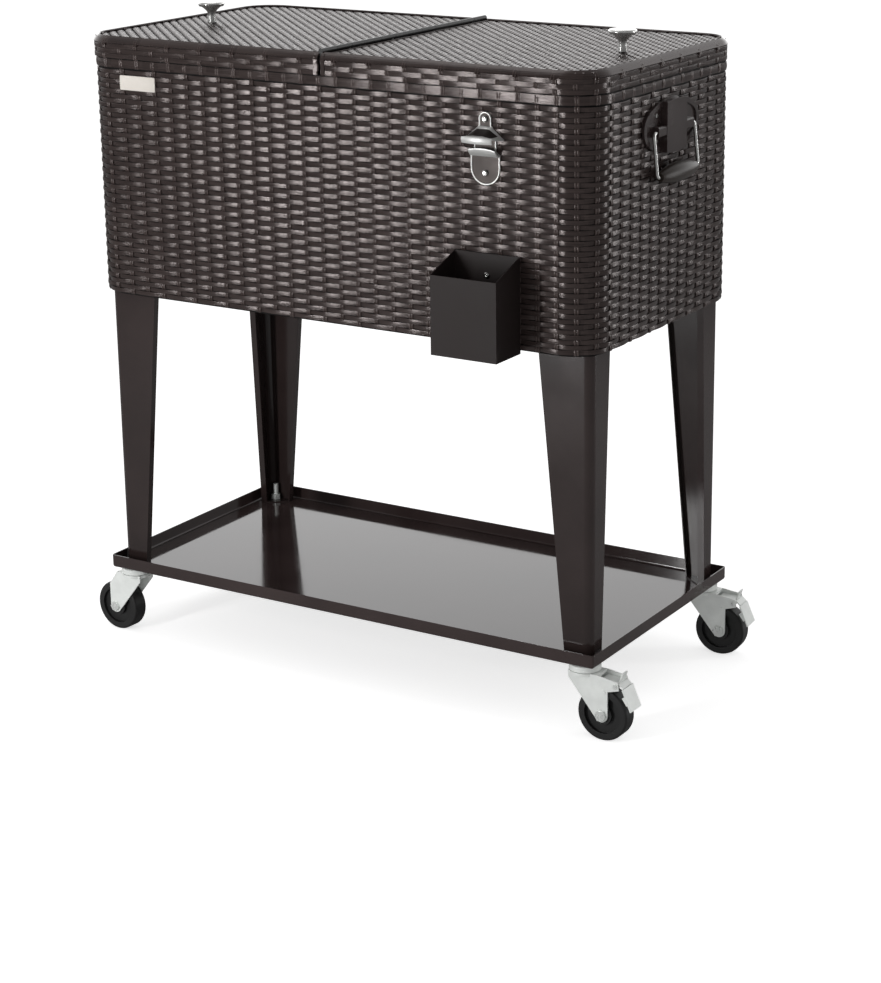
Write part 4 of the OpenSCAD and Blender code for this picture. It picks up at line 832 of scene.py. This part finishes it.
def make_materials(colours):
    """Every finish on the cart, by a plain name."""
    # How fast the streaks change along X, Y and Z: slowly along a strap, fast across it
    around = (14.0, 14.0, 1500.0)
    over = (1500.0, 14.0, 400.0)
    drawn = (40.0, 1200.0, 1200.0)
    turned = (900.0, 900.0, 30.0)
    MATERIALS.update({
        "wicker": woven_material("wicker", colours.weave, colours.weave_light, around,
                                 (0.054, 0.054, 0.00666)),
        "lid_wicker": woven_material("lid_wicker", colours.weave, colours.weave_light, over,
                                     (0.0085, 0.0168, 0.006), rough=(0.2, 0.32),
                                     specular=0.9),
        # Bars run from the straps' light tone up to 1.6 times it: painted highlight lines along
        # their rounded backs
        "bars": woven_material("bars", colours.weave_light,
                               [channel * 1.6 for channel in colours.weave_light],
                               (1500.0, 1500.0, 30.0), (0.0136, 0.0136, 0.00666),
                               rough=(0.2, 0.3)),
        "core": coated_material("core", colours.core, (0.55, 0.8), specular=0.2),
        "rim": woven_material("rim", colours.weave, colours.weave_light, around,
                              (0.027, 0.027, 0.02)),
        "paint": coated_material("brown_paint", colours.paint, (0.10, 0.2), bump=0.05),
        "tray": coated_material("tray_paint", colours.tray, (0.05, 0.12), bump=0.03,
                                specular=0.6),
        "handle": coated_material("handle_paint", colours.paint, (0.16, 0.3), bump=0.08),
        "hinge": coated_material("hinge_black", colours.hinge, (0.28, 0.42)),
        "grip": coated_material("grip", colours.grip, (0.34, 0.46), bump=0.06, specular=0.3),
        "knob": metal_material("knob_satin", colours.steel, (0.22, 0.32), turned,
                               metallic=0.8),
        "chrome": metal_material("knob_chrome", colours.steel, (0.08, 0.16), turned),
        "steel": metal_material("opener_steel", colours.steel, (0.34, 0.44), drawn,
                                metallic=0.6),
        # Darker steel for the opener: a painted dark reflection on its sunk plate and hood top
        "painted_dark_steel": metal_material("opener_painted_dark_reflection", colours.painted_dark_steel, (0.3, 0.5), drawn,
                                 metallic=0.7),
        "badge": coated_material("badge", colours.badge, (0.34, 0.44), bump=0.02),
        "zinc": metal_material("caster_zinc", colours.zinc, (0.3, 0.42),
                               (60.0, 60.0, 60.0), metallic=0.08),
        "bolt": metal_material("zinc", colours.zinc, (0.22, 0.34), (500.0, 500.0, 120.0),
                               metallic=0.5),
        "rubber": coated_material("wheel_rubber", colours.rubber, (0.42, 0.58), bump=0.2),
        "catcher": coated_material("catcher_paint", colours.catcher, (0.5, 0.6), bump=0.05,
                                   specular=0.3),
        "tub": coated_material("tub", colours.tub, (0.22, 0.34), grain=500.0, bump=0.1),
        "base": coated_material("base", colours.core, (0.5, 0.7)),
        "drain": coated_material("drain_plastic", colours.drain, (0.3, 0.42)),
        "plug": coated_material("plug_rubber", colours.rubber, (0.5, 0.65)),
        "foam": foam_material("foam", colours.foam),
    })


class COOLER_OT_stage(bpy.types.Operator):
    """Sets up the camera, the lamps and a plain pale floor"""

    bl_idname = "cooler.stage"
    bl_label = "Stage and camera"

    def execute(self, context):
        studio = context.scene.cooler_studio
        add_camera(studio)
        add_lamps(studio)
        add_world(studio)
        add_floor()
        context.scene.view_settings.view_transform = "Standard"
        return {"FINISHED"}


def add_camera(studio):
    """The camera at the photograph's viewing angle."""
    data = bpy.data.cameras.new("camera")
    data.sensor_fit = "HORIZONTAL"
    data.sensor_width = 36.0
    data.lens = studio.lens
    data.shift_x = studio.shift_x
    data.shift_y = studio.shift_y
    camera = bpy.data.objects.new("camera", data)
    bpy.context.scene.collection.objects.link(camera)
    turn = (Matrix.Rotation(studio.azimuth, 4, "Z")
            @ Matrix.Rotation(math.radians(90) - studio.elevation, 4, "X")
            @ Matrix.Rotation(studio.roll, 4, "Z"))
    camera.matrix_world = Matrix.Translation(studio.camera_at) @ turn
    bpy.context.scene.camera = camera


def add_lamp(name, at, towards, size, power):
    """A soft panel lamp that the camera doesn't see."""
    data = bpy.data.lights.new(name, "AREA")
    data.shape = "RECTANGLE"
    data.size, data.size_y = size
    data.energy = power
    lamp = bpy.data.objects.new(name, data)
    bpy.context.scene.collection.objects.link(lamp)
    lamp.location = at
    lamp.rotation_euler = (Vector(towards) - Vector(at)).to_track_quat("-Z", "Y").to_euler()
    lamp.visible_camera = False


def add_lamps(studio):
    """A tall narrow key lamp left of the front, a weaker one past the right end, one above."""
    front = Vector((MIDDLE.x - 0.1, CASING[0].y, 0.81))
    angle = math.radians(-19)
    away = 2.3
    key_at = front + Vector((math.sin(angle), -math.cos(angle), 0)) * away
    add_lamp("key_lamp", key_at, front, (0.16, 1.58), studio.key_power)
    add_lamp("side_lamp", (1.95, 1.35, 0.74), (0.4, 0.0, 0.74), (0.18, 1.45), studio.side_power)
    add_lamp("top_lamp", (-0.6, 0.2, 2.9), (0.0, 0.0, 0.5), (1.6, 1.2), 1.2 * studio.side_power)


def add_world(studio):
    """A sky that is even for matt surfaces, white to the camera, and brighter behind the
    cart for what mirrors it."""
    world = bpy.data.worlds.new("studio")
    bpy.context.scene.world = world
    world.use_nodes = True
    tree = world.node_tree
    tree.nodes.clear()
    recipe = Recipe(tree)
    x, y, z = recipe.split(recipe.node("ShaderNodeTexCoord").outputs["Generated"])
    behind = recipe.math("SUBTRACT", recipe.math("MULTIPLY", y, 0.87),
                         recipe.math("MULTIPLY", x, 0.5))
    wall = recipe.node("ShaderNodeMapRange", behind, -0.2, 0.95, 0.3, 2.5).outputs[0]
    fade = recipe.node("ShaderNodeMapRange", z, 0.16, 0.5, 1.0, 0.42).outputs[0]
    mirrored = recipe.math("MULTIPLY", wall, fade)
    path = recipe.node("ShaderNodeLightPath").outputs
    seen = recipe.math("MAXIMUM", path["Is Camera Ray"], path["Is Transmission Ray"])
    glossy = recipe.math("MULTIPLY", path["Is Glossy Ray"], mirrored)
    bright = recipe.math("MAXIMUM", seen, glossy)
    strength = recipe.math("MAXIMUM", bright, recipe.math(
        "MULTIPLY", recipe.math("SUBTRACT", 1.0, recipe.math(
            "MAXIMUM", seen, path["Is Glossy Ray"])), studio.sky))
    background = recipe.node("ShaderNodeBackground", (1.0, 1.0, 1.0, 1.0))
    recipe.feed(background.inputs["Strength"], strength)
    out = recipe.node("ShaderNodeOutputWorld")
    recipe.feed(out.inputs["Surface"], background)


def add_floor():
    """A wide pale floor that keeps the cart's soft shadow."""
    half = 14.0
    mesh = bpy.data.meshes.new("floor")
    mesh.from_pydata([(-half, -half, 0), (half, -half, 0), (half, half, 0), (-half, half, 0)],
                     [], [(0, 1, 2, 3)])
    floor = new_object("floor", mesh)
    material, recipe, shader = new_material("floor", specular=0.0)
    shader.inputs["Roughness"].default_value = 0.8
    pale = (0.93, 0.93, 0.93, 1.0)
    mirrored = (0.45, 0.45, 0.45, 1.0)
    path = recipe.node("ShaderNodeLightPath").outputs
    seen = recipe.math("MAXIMUM", path["Is Camera Ray"], path["Is Transmission Ray"])
    lift = recipe.math("MULTIPLY", seen, 0.66)
    recipe.feed(shader.inputs["Base Color"], mixed(recipe, path["Is Glossy Ray"], pale,
                                                   mirrored))
    shader.inputs["Emission Color"].default_value = (1.0, 1.0, 1.0, 1.0)
    recipe.feed(shader.inputs["Emission Strength"], lift)
    mesh.materials.append(material)


class COOLER_OT_casing(bpy.types.Operator):
    """Weaves the skin of the body over its backing"""

    bl_idname = "cooler.casing"
    bl_label = "Woven casing"

    def execute(self, context):
        sizes = context.scene.cooler_weave
        first = CASING[1].z - 0.005
        half = BODY_HALF
        set_in("outer_casing", "wicker", MATERIALS["core"], half, sizes.body_corner,
               sizes.body_round, False, sizes.core_depth)
        for parity, name in ((0, "casing_straps_odd"), (1, "casing_straps_even")):
            rows = (sizes.body_rows + 1 - parity) // 2
            straps = grown(name, straps_round_tree, rectangle(half.x, half.y), {
                "Corner": sizes.body_corner, "Points": sizes.columns * sizes.steps,
                "Steps": float(sizes.steps), "Phase": 1 - BODY_PHASE + parity,
                "Swing": sizes.strap_swing, "Depth": sizes.strap_depth,
                "Width": sizes.strap_width, "Thickness": sizes.strap_thickness, "Lean": 0.0,
                "Rows": rows, "First row": first - parity * sizes.row_pitch,
                "Row step": -2 * sizes.row_pitch, "Finish": MATERIALS["wicker"]})
            ridden(straps, "cart", "wicker")
        bars = grown("casing_bars", bars_round_tree, rectangle(half.x, half.y), {
            "Corner": sizes.body_corner, "Columns": float(sizes.columns),
            "Bars": sizes.columns // 2, "Every": 2.0, "Stagger": 1.0, "Phase": BODY_PHASE,
            "Rows": sizes.body_rows, "First row": first, "Row step": -sizes.row_pitch,
            "Lean": 0.0, "Bar length": sizes.bar_length, "Bar width": sizes.bar_width,
            "Bar gap": sizes.bar_gap, "Rise": sizes.bar_rise, "Depth": BAR_DEPTH,
            "Finish": MATERIALS["bars"]})
        ridden(bars, "cart", "wicker")
        return {"FINISHED"}


class COOLER_OT_rim(bpy.types.Operator):
    """Weaves the wide band round the top of the body"""

    bl_idname = "cooler.rim"
    bl_label = "Rim band"

    def execute(self, context):
        sizes = context.scene.cooler_weave
        corner = sizes.body_corner + RIM_HALF.x - BODY_HALF.x
        middle = 0.5 * (CASING[1].z + RIM[1].z) - 0.0005
        set_in("body_rim", "rim", MATERIALS["core"], RIM_HALF, corner, 0.0, False,
               sizes.core_depth)
        band = grown("rim_band", straps_round_tree, rectangle(RIM_HALF.x, RIM_HALF.y), {
            "Corner": corner, "Points": sizes.columns * sizes.steps,
            "Steps": float(sizes.steps), "Phase": -BODY_PHASE, "Swing": 0.0004,
            "Depth": 0.0009, "Width": 0.0112, "Thickness": 0.0015, "Lean": 0.0, "Rows": 1,
            "First row": middle, "Row step": 0.0, "Finish": MATERIALS["rim"]})
        ridden(band, "cart", "rim")
        bars = grown("rim_bars", bars_round_tree, rectangle(RIM_HALF.x, RIM_HALF.y), {
            "Corner": corner, "Columns": float(sizes.columns), "Bars": sizes.columns,
            "Every": 1.0, "Stagger": 0.0, "Phase": BODY_PHASE, "Rows": 1,
            "First row": middle, "Row step": 0.0, "Lean": 0.0, "Bar length": 0.0118,
            "Bar width": sizes.bar_width, "Bar gap": sizes.bar_gap, "Rise": 0.0012,
            "Depth": -0.0001, "Finish": MATERIALS["bars"]})
        ridden(bars, "cart", "rim")
        return {"FINISHED"}


def lid_weave(side, sizes):
    """The skirt, edge band and top of one lid."""
    body = side + "_lid"
    sign = 1.0 if side == "right" else -1.0
    half = Vector((LID_HALF_X, LID_HALF_Y, 0))
    pitch = 2 * (2 * BODY_HALF.x + 2 * BODY_HALF.y - 4 * sizes.body_corner)
    pitch = (pitch + 2 * math.pi * sizes.body_corner) / sizes.columns
    set_in(side + "_lid_shell", "lid_wicker", MATERIALS["core"], half, sizes.lid_corner,
           sizes.lid_round, True, 0.45 * sizes.core_depth)
    run = 2 * (half.x - LID_SEAM) + 2 * half.y - (4 - math.pi) * sizes.lid_corner
    columns = run / pitch
    shift = 0.0045
    if side == "right":
        phase = 1 - (shift + LID_SEAM) / pitch
    else:
        phase = (columns - (shift - LID_SEAM) / pitch) % 1.0
    points = round(columns * sizes.steps) + 1
    steps = (points - 1) / columns
    lowest = LID_BOTTOM + 0.0033
    for parity, low in ((0, lowest), (1, LID_BOTTOM + 0.0098)):
        skirt = grown(f"{side}_lid_skirt_{parity + 1}", straps_round_tree,
                      lid_outline(side, half.x, half.y), {
            "Corner": sizes.lid_corner, "Points": points, "Steps": steps,
            "Phase": 1 - phase + parity, "Swing": 0.55 * sizes.strap_swing,
            "Depth": 0.8 * sizes.strap_depth, "Width": 0.0062,
            "Thickness": sizes.strap_thickness, "Lean": 0.0,
            "Rows": 2 - parity, "First row": low, "Row step": 0.0131,
            "Finish": MATERIALS["wicker"]})
        ridden(skirt, body, "lid_wicker")
    bars = grown(side + "_lid_skirt_bars", bars_round_tree,
                 lid_outline(side, half.x, half.y), {
        "Corner": sizes.lid_corner, "Columns": columns, "Bars": int(columns / 2) + 1,
        "Every": 2.0, "Stagger": 1.0, "Phase": phase, "Rows": 3,
        "First row": lowest, "Row step": 0.0065, "Lean": 0.0,
        "Bar length": sizes.bar_length, "Bar width": sizes.bar_width,
        "Bar gap": sizes.bar_gap, "Rise": sizes.bar_rise, "Depth": BAR_DEPTH,
        "Finish": MATERIALS["bars"]})
    ridden(bars, body, "lid_wicker")
    inset = sizes.lid_round * (1 - math.cos(math.radians(45)))
    edge = {"Corner": sizes.lid_corner - inset, "Lean": math.radians(45),
            "First row": LID_TOP - inset, "Row step": 0.0}
    band = grown(side + "_lid_edge_band", straps_round_tree,
                 lid_outline(side, half.x - inset, half.y - inset), {
        **edge, "Points": points, "Steps": steps, "Phase": 0.0, "Swing": 0.0,
        "Depth": 0.0012, "Width": 0.0118, "Thickness": 0.0042, "Rows": 1,
        "Finish": MATERIALS["rim"]})
    ridden(band, body, "lid_wicker")
    edge_bars = grown(side + "_lid_edge_bars", bars_round_tree,
                      lid_outline(side, half.x - inset, half.y - inset), {
        **edge, "Columns": columns, "Bars": int(columns / 2) + 1, "Every": 2.0,
        "Stagger": 0.0, "Phase": phase, "Rows": 1, "Bar length": 0.0145,
        "Bar width": sizes.bar_width, "Bar gap": sizes.bar_gap, "Rise": 0.0026,
        "Depth": -0.0001, "Finish": MATERIALS["bars"]})
    ridden(edge_bars, body, "lid_wicker")
    flat = sizes.lid_round
    first = 0.0122
    rows = int((half.x - flat + 0.002 - first) / sizes.lid_row_pitch) + 1
    top = {"Side": sign, "Seam": first, "Outer": half.x - flat + 0.004,
           "Half across": half.y - flat + 0.003, "Corner": sizes.lid_corner - flat + 0.003,
           "Row pitch": sizes.lid_row_pitch, "Column pitch": sizes.lid_column_pitch,
           "Centre": Vector((MIDDLE.x, MIDDLE.y, LID_TOP)), "Rows": rows}
    across = int(2 * half.y / sizes.lid_column_pitch) + 1
    steps_across = 5
    straps = grown(side + "_lid_top_straps", straps_over_lid_tree, outline_mesh([], False), {
        **top, "Points": across * steps_across + 1, "Swing": 0.7 * sizes.strap_swing,
        "Width": 0.9 * sizes.lid_row_pitch, "Thickness": sizes.strap_thickness,
        "Depth": 0.0013, "Finish": MATERIALS["lid_wicker"]})
    ridden(straps, body, "lid_wicker")
    top_bars = grown(side + "_lid_top_bars", bars_over_lid_tree, outline_mesh([], False), {
        **top, "Bars": across // 2 + 3, "Bar length": sizes.lid_row_pitch,
        "Bar width": sizes.bar_width, "Bar gap": 0.6 * sizes.bar_gap,
        "Rise": sizes.bar_rise, "Depth": 0.0022, "Finish": MATERIALS["lid_wicker"]})
    ridden(top_bars, body, "lid_wicker")
    add_seam_strap(side, sign, half)


def add_seam_strap(side, sign, half):
    """The flat strap that binds the weave along a lid's seam: up, over and down."""
    inner, outer, proud, thick = 0.0021, 0.0088, 0.0009, 0.0018
    low = LID_BOTTOM + 0.0002
    bend = 0.007
    path = [(-half.y - proud, low)]
    path += [(-half.y - proud + bend - bend * math.cos(math.radians(a)),
              LID_TOP + proud - bend + bend * math.sin(math.radians(a)))
             for a in range(0, 91, 15)]
    path += [(-y, z) for y, z in reversed(path)]
    shape = bmesh.new()
    rings = []
    for index, (y, z) in enumerate(path):
        before = Vector(path[max(index - 1, 0)])
        after = Vector(path[min(index + 1, len(path) - 1)])
        along = (after - before).normalized()
        inward = Vector((along.y, -along.x)) * thick
        ring = []
        for x, step in ((inner, 0.75), (inner + 0.0004, 0.42), (inner + 0.005, 0.08),
                        (outer - 0.0006, 0.0), (outer, 0.3), (outer, 1), (inner, 1)):
            ring.append(shape.verts.new((MIDDLE.x + sign * x, MIDDLE.y + y + inward.x * step,
                                         z + inward.y * step)))
        rings.append(ring)
    for first, second in zip(rings, rings[1:]):
        for i in range(len(first)):
            j = (i + 1) % len(first)
            shape.faces.new((first[i], first[j], second[j], second[i]))
    shape.faces.new(rings[0])
    shape.faces.new(rings[-1])
    bmesh.ops.recalc_face_normals(shape, faces=shape.faces)
    mesh = bpy.data.meshes.new(side + "_lid_seam_strap")
    shape.to_mesh(mesh)
    shape.free()
    smooth(mesh, 30)
    mesh.materials.append(MATERIALS["rim"])
    ridden(new_object(side + "_lid_seam_strap", mesh), side + "_lid", "lid_wicker")


class COOLER_OT_lids(bpy.types.Operator):
    """Weaves the two lids"""

    bl_idname = "cooler.lids"
    bl_label = "Woven lids"

    def execute(self, context):
        for side in SIDES:
            lid_weave(side, context.scene.cooler_weave)
        return {"FINISHED"}


def dress_all(plan):
    """Gives each node of a plan its finish: {node: (slot, material, edge width)}."""
    for node, (slot, material, width) in plan.items():
        dressed(node, slot, MATERIALS[material], width)


class COOLER_OT_inside(bpy.types.Operator):
    """Finishes the tub, foam, liners, base panel and centre bridge"""

    bl_idname = "cooler.inside"
    bl_label = "Inside"

    def execute(self, context):
        dress_all({
            "inner_tub": ("tub", "tub", MOULDED_EDGE),
            "left_lid_liner": ("liner", "tub", MOULDED_EDGE),
            "right_lid_liner": ("liner", "tub", MOULDED_EDGE),
            "centre_bridge": ("tub", "tub", CAST_EDGE),
            "base_panel": ("base", "base", SHEET_EDGE),
            "insulation": ("foam", "foam", THIN_EDGE),
            "left_lid_foam": ("foam", "foam", THIN_EDGE),
            "right_lid_foam": ("foam", "foam", THIN_EDGE),
            "bridge_screws": ("screw_steel", "chrome", FINE_EDGE),
            "left_knob_screw": ("screw_steel", "chrome", FINE_EDGE),
            "right_knob_screw": ("screw_steel", "chrome", FINE_EDGE),
            "drain_spout": ("drain_plastic", "drain", SHEET_EDGE),
            "drain_nut": ("drain_plastic", "drain", SHEET_EDGE),
            "drain_plug": ("plug_rubber", "plug", FOLD_EDGE),
        })
        return {"FINISHED"}


class COOLER_OT_hinge(bpy.types.Operator):
    """Finishes the centre hinge"""

    bl_idname = "cooler.hinge"
    bl_label = "Centre hinge"

    def execute(self, context):
        dress_all({
            "hinge_blade": ("hinge_black", "hinge", THIN_EDGE),
            "hinge_pin": ("hinge_black", "hinge", THIN_EDGE),
            "left_hinge_leaf": ("hinge_black", "hinge", THIN_EDGE),
            "right_hinge_leaf": ("hinge_black", "hinge", THIN_EDGE),
        })
        return {"FINISHED"}


class COOLER_OT_knobs(bpy.types.Operator):
    """Turns the two lid knobs"""

    bl_idname = "cooler.knobs"
    bl_label = "Lid knobs"

    def execute(self, context):
        for side in SIDES:
            low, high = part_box(side + "_lid_knob")
            radius = (high.x - low.x) / 2
            height = high.z - low.z
            profile = knob_profile(radius, height)
            mesh = revolved(side + "_knob", profile, 96, MATERIALS["knob"])
            middle = (low + high) / 2
            mesh.transform(Matrix.Translation((middle.x, middle.y, low.z)))
            knob = new_object(side + "_knob", mesh)
            ridden(knob, side + "_lid", "knob_chrome", side + "_lid_knob")
        return {"FINISHED"}


def knob_profile(radius, height):
    """A mushroom knob: straight stem, hollow flare, rounded rim, shallow dome."""
    rim = 0.0026
    foot = 0.0064
    waist = 0.0056
    stem = 0.42 * height
    points = [(0.0, 0.0), (foot, 0.0), (foot, 0.0012), (waist, 0.3 * height), (waist, stem)]
    flare_r = radius - rim - 0.0016
    steps = 10
    for i in range(1, steps + 1):
        share = i / steps
        points.append((waist + (flare_r - waist) * share ** 1.6,
                       stem + (0.58 * height - 2 * rim - 0.0022) * share))
    points.append((radius - 0.0014, height - 2 * rim - 0.0018))
    points += arc(radius - rim, height - rim - 0.001, rim, -40, 70, 8)
    dome = radius - rim
    dome_rise = 0.001
    rings = 8
    for i in range(1, rings + 1):
        r = dome * (1 - i / rings)
        points.append((r, height - dome_rise * (r / dome) ** 2))
    return points


class COOLER_OT_fittings(bpy.types.Operator):
    """Finishes the badge plate, the bottle opener and the cap catcher"""

    bl_idname = "cooler.fittings"
    bl_label = "Opener, catcher and badge"

    def execute(self, context):
        dress_all({
            "badge_plate": ("badge", "badge", SHEET_EDGE),
            "opener_screws": ("screw_steel", "chrome", SCREW_EDGE),
            "cap_catcher": ("tray_paint", "catcher", FOLD_EDGE),
            "catcher_screw": ("screw_steel", "chrome", SCREW_EDGE),
        })
        add_opener()
        return {"FINISHED"}


def sheet_of(place, across, down, thickness, material_of):
    """A curved sheet with a thickness: place(u, v) gives its points, u from -1 to 1."""
    shape = bmesh.new()
    rows = [[shape.verts.new(place(2 * i / across - 1, j / down)) for i in range(across + 1)]
            for j in range(down + 1)]
    for j in range(down):
        for i in range(across):
            face = shape.faces.new((rows[j][i], rows[j + 1][i], rows[j + 1][i + 1],
                                    rows[j][i + 1]))
            face.material_index = material_of(2 * (i + 0.5) / across - 1, (j + 0.5) / down)
    mesh = bpy.data.meshes.new("sheet")
    shape.to_mesh(mesh)
    shape.free()
    made = new_object("sheet", mesh)
    made.data.materials.append(MATERIALS["steel"])
    # Slot 1 is the darker steel, a painted dark reflection
    made.data.materials.append(MATERIALS["painted_dark_steel"])
    wall = made.modifiers.new("Wall", "SOLIDIFY")
    wall.thickness = thickness
    wall.offset = -1
    soft = made.modifiers.new("Edges", "BEVEL")
    soft.width = 0.0005
    soft.segments = 2
    soft.limit_method = "ANGLE"
    soft.angle_limit = math.radians(50)
    made.data = evaluated_mesh(made)
    made.modifiers.clear()
    outwards(made.data)
    return made


def opener_hood(at):
    """The opener's hood: from its shoulders on the wall out to a bowed lip."""
    reach = 0.0265
    lip_z = 0.0135
    lip_height = 0.0078
    fold = 0.62

    def place(u, v):
        wall_x = 0.028 * u
        slope = min(max(1 - (abs(wall_x) - 0.009) / 0.019, 0), 1)
        wall = Vector((wall_x, -0.0022, 0.0095 + 0.0155 * slope))
        lip = Vector((0.0222 * u, -reach + 0.004 * u * u, lip_z + 0.0012 * (1 - u * u)))
        share = min(v / fold, 1)
        point = wall.lerp(lip, share)
        point.z -= 0.0022 * math.sin(math.pi * share) * (1 - u * u)
        if v > fold:
            down = (v - fold) / (1 - fold)
            point.z -= lip_height * down + 0.0012 * (1 - u * u) * down
            point.y -= 0.0011 * math.sin(math.pi * down)
        return point + at
    # A band across the hood's top takes the darker steel: a painted dark reflection
    return sheet_of(place, 28, 26, 0.0022,
                    lambda u, v: 1 if 0.12 < v < 0.5 and abs(u) < 0.8 else 0)


def opener_tongue(at):
    """The curled band above the opener's lower plate, which lifts the cap."""
    def place(u, v):
        turn = v * math.pi / 2
        return at + Vector((0.0206 * u * (1 - 0.04 * v), -0.003 - 0.0065 * math.sin(turn),
                            -0.0117 + 0.0078 * v + 0.0022 * (1 - u * u) * v))
    return sheet_of(place, 24, 8, 0.002, lambda u, v: 0)


def opener_plate(at, back):
    """The wall plate: a tab with a round top, a waist, and a round lower end with a rim."""
    outline = arc(0, 0.034, 0.0085, 0, 180, 14)
    outline += [(-0.0085, 0.026), (-0.0155, 0.014), (-0.0155, -0.006), (-0.0208, -0.0105)]
    outline += arc(0, -0.0285, 0.0208, 180, 360, 26)
    outline += [(0.0208, -0.0105), (0.0155, -0.006), (0.0155, 0.014), (0.0085, 0.026)]
    shape = bmesh.new()
    front = shape.faces.new([shape.verts.new((x, 0, z)) for x, z in outline])
    front.normal_update()
    if front.normal.y > 0:
        front.normal_flip()
    solid = bmesh.ops.extrude_face_region(shape, geom=[front])
    for item in solid["geom"]:
        if isinstance(item, bmesh.types.BMVert):
            item.co.y -= back
    bmesh.ops.recalc_face_normals(shape, faces=shape.faces)
    shape.faces.ensure_lookup_table()
    face = min((f for f in shape.faces if len(f.verts) == len(outline)),
               key=lambda f: f.calc_center_median().y)
    bmesh.ops.inset_region(shape, faces=[face], thickness=0.0009, depth=0)
    bmesh.ops.inset_region(shape, faces=[face], thickness=0.0005, depth=-0.0009)
    # The sunk face takes the darker steel: a painted dark reflection
    face.material_index = 1
    bmesh.ops.translate(shape, verts=shape.verts, vec=at)
    mesh = bpy.data.meshes.new("opener_plate")
    shape.to_mesh(mesh)
    shape.free()
    made = new_object("opener_plate", mesh)
    made.data.materials.append(MATERIALS["steel"])
    # Slot 1 is the darker steel, a painted dark reflection on the sunk face
    made.data.materials.append(MATERIALS["painted_dark_steel"])
    return made


def joined(name, pieces, angle):
    """Several objects' meshes as one piece."""
    shape = bmesh.new()
    for piece in pieces:
        shape.from_mesh(piece.data)
    mesh = bpy.data.meshes.new(name)
    shape.to_mesh(mesh)
    shape.free()
    for material in pieces[0].data.materials:
        mesh.materials.append(material)
    smooth(mesh, angle)
    for piece in pieces:
        bpy.data.objects.remove(piece)
    return new_object(name, mesh)


def add_opener():
    """The cast bottle opener: wall plate, hood and tongue."""
    low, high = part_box("bottle_opener")
    middle = (low.x + high.x) / 2
    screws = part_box("opener_screws")
    at = Vector((middle, CASING[0].y, (screws[0].z + screws[1].z) / 2))
    made = joined("opener", [opener_plate(at, 0.0025), opener_hood(at), opener_tongue(at)], 35)
    ridden(made, "cart", "opener_steel", "bottle_opener")


class COOLER_OT_handles(bpy.types.Operator):
    """Finishes the two end handles with their bails and grips"""

    bl_idname = "cooler.handles"
    bl_label = "End handles"

    def execute(self, context):
        for side in SIDES:
            dress_all({
                side + "_handle_plate": ("handle_paint", "handle", CAST_EDGE),
                side + "_bail_rod": ("bail_chrome", "chrome", HAIRLINE),
                side + "_grip": ("grip", "grip", THIN_EDGE),
            })
        dress_all({"handle_screws": ("screw_steel", "chrome", SCREW_EDGE)})
        return {"FINISHED"}


class COOLER_OT_legs(bpy.types.Operator):
    """Finishes the four folded legs and the shelf tray"""

    bl_idname = "cooler.legs"
    bl_label = "Legs and tray"

    def execute(self, context):
        plan = {corner + "_leg": ("brown_paint", "paint", FOLD_EDGE) for corner in CORNERS}
        plan["tray"] = ("tray_paint", "tray", MOULDED_EDGE)
        plan["leg_bolts"] = ("zinc", "bolt", THIN_EDGE)
        dress_all(plan)
        return {"FINISHED"}


class COOLER_OT_casters(bpy.types.Operator):
    """Finishes the four swivel casters and the two brakes"""

    bl_idname = "cooler.casters"
    bl_label = "Casters"

    def execute(self, context):
        plan = {"caster_raceways": ("caster_zinc", "zinc", FOLD_EDGE),
                "caster_nuts": ("zinc", "bolt", THIN_EDGE)}
        for corner in CORNERS:
            plan[corner + "_fork"] = ("caster_zinc", "zinc", MOULDED_EDGE)
            plan[corner + "_axle"] = ("zinc", "bolt", SHEET_EDGE)
            plan[corner + "_wheel"] = ("wheel_rubber", "rubber", MOULDED_EDGE)
        for corner in ("front_right", "back_right"):
            plan[corner + "_brake"] = ("caster_zinc", "zinc", SHEET_EDGE)
            plan[corner + "_brake_pin"] = ("zinc", "bolt", THIN_EDGE)
        dress_all(plan)
        return {"FINISHED"}


class COOLER_PT_panel(bpy.types.Panel):
    """Lists the steps that dress the cart"""

    bl_idname = "COOLER_PT_panel"
    bl_label = "Cooler cart"
    bl_space_type = "VIEW_3D"
    bl_region_type = "UI"
    bl_category = "Cooler cart"

    def draw(self, context):
        for step in STEPS:
            self.layout.operator(step.bl_idname)
        for settings in (context.scene.cooler_weave, context.scene.cooler_colours,
                         context.scene.cooler_studio):
            for name in settings.bl_rna.properties.keys():
                if name not in ("rna_type", "name"):
                    self.layout.prop(settings, name)


STEPS = (COOLER_OT_stage, COOLER_OT_casing, COOLER_OT_rim, COOLER_OT_lids, COOLER_OT_inside,
         COOLER_OT_hinge, COOLER_OT_knobs, COOLER_OT_fittings, COOLER_OT_handles,
         COOLER_OT_legs, COOLER_OT_casters)
SETTINGS = {"cooler_weave": CoolerWeave, "cooler_colours": CoolerColours,
            "cooler_studio": CoolerStudio}


def register():
    """Adds the settings, the steps and the panel."""
    for name, settings in SETTINGS.items():
        bpy.utils.register_class(settings)
        setattr(bpy.types.Scene, name, PointerProperty(type=settings))
    for step in STEPS + (COOLER_PT_panel,):
        bpy.utils.register_class(step)


def unregister():
    """Takes the panel, the steps and the settings away again."""
    for step in reversed(STEPS + (COOLER_PT_panel,)):
        bpy.utils.unregister_class(step)
    for name, settings in SETTINGS.items():
        delattr(bpy.types.Scene, name)
        bpy.utils.unregister_class(settings)


def main():
    """Dresses the whole cart."""
    register()
    make_materials(bpy.context.scene.cooler_colours)
    for step in STEPS:
        kind, name = step.bl_idname.split(".")
        getattr(getattr(bpy.ops, kind), name)()


if __name__ == "__main__":
    main()
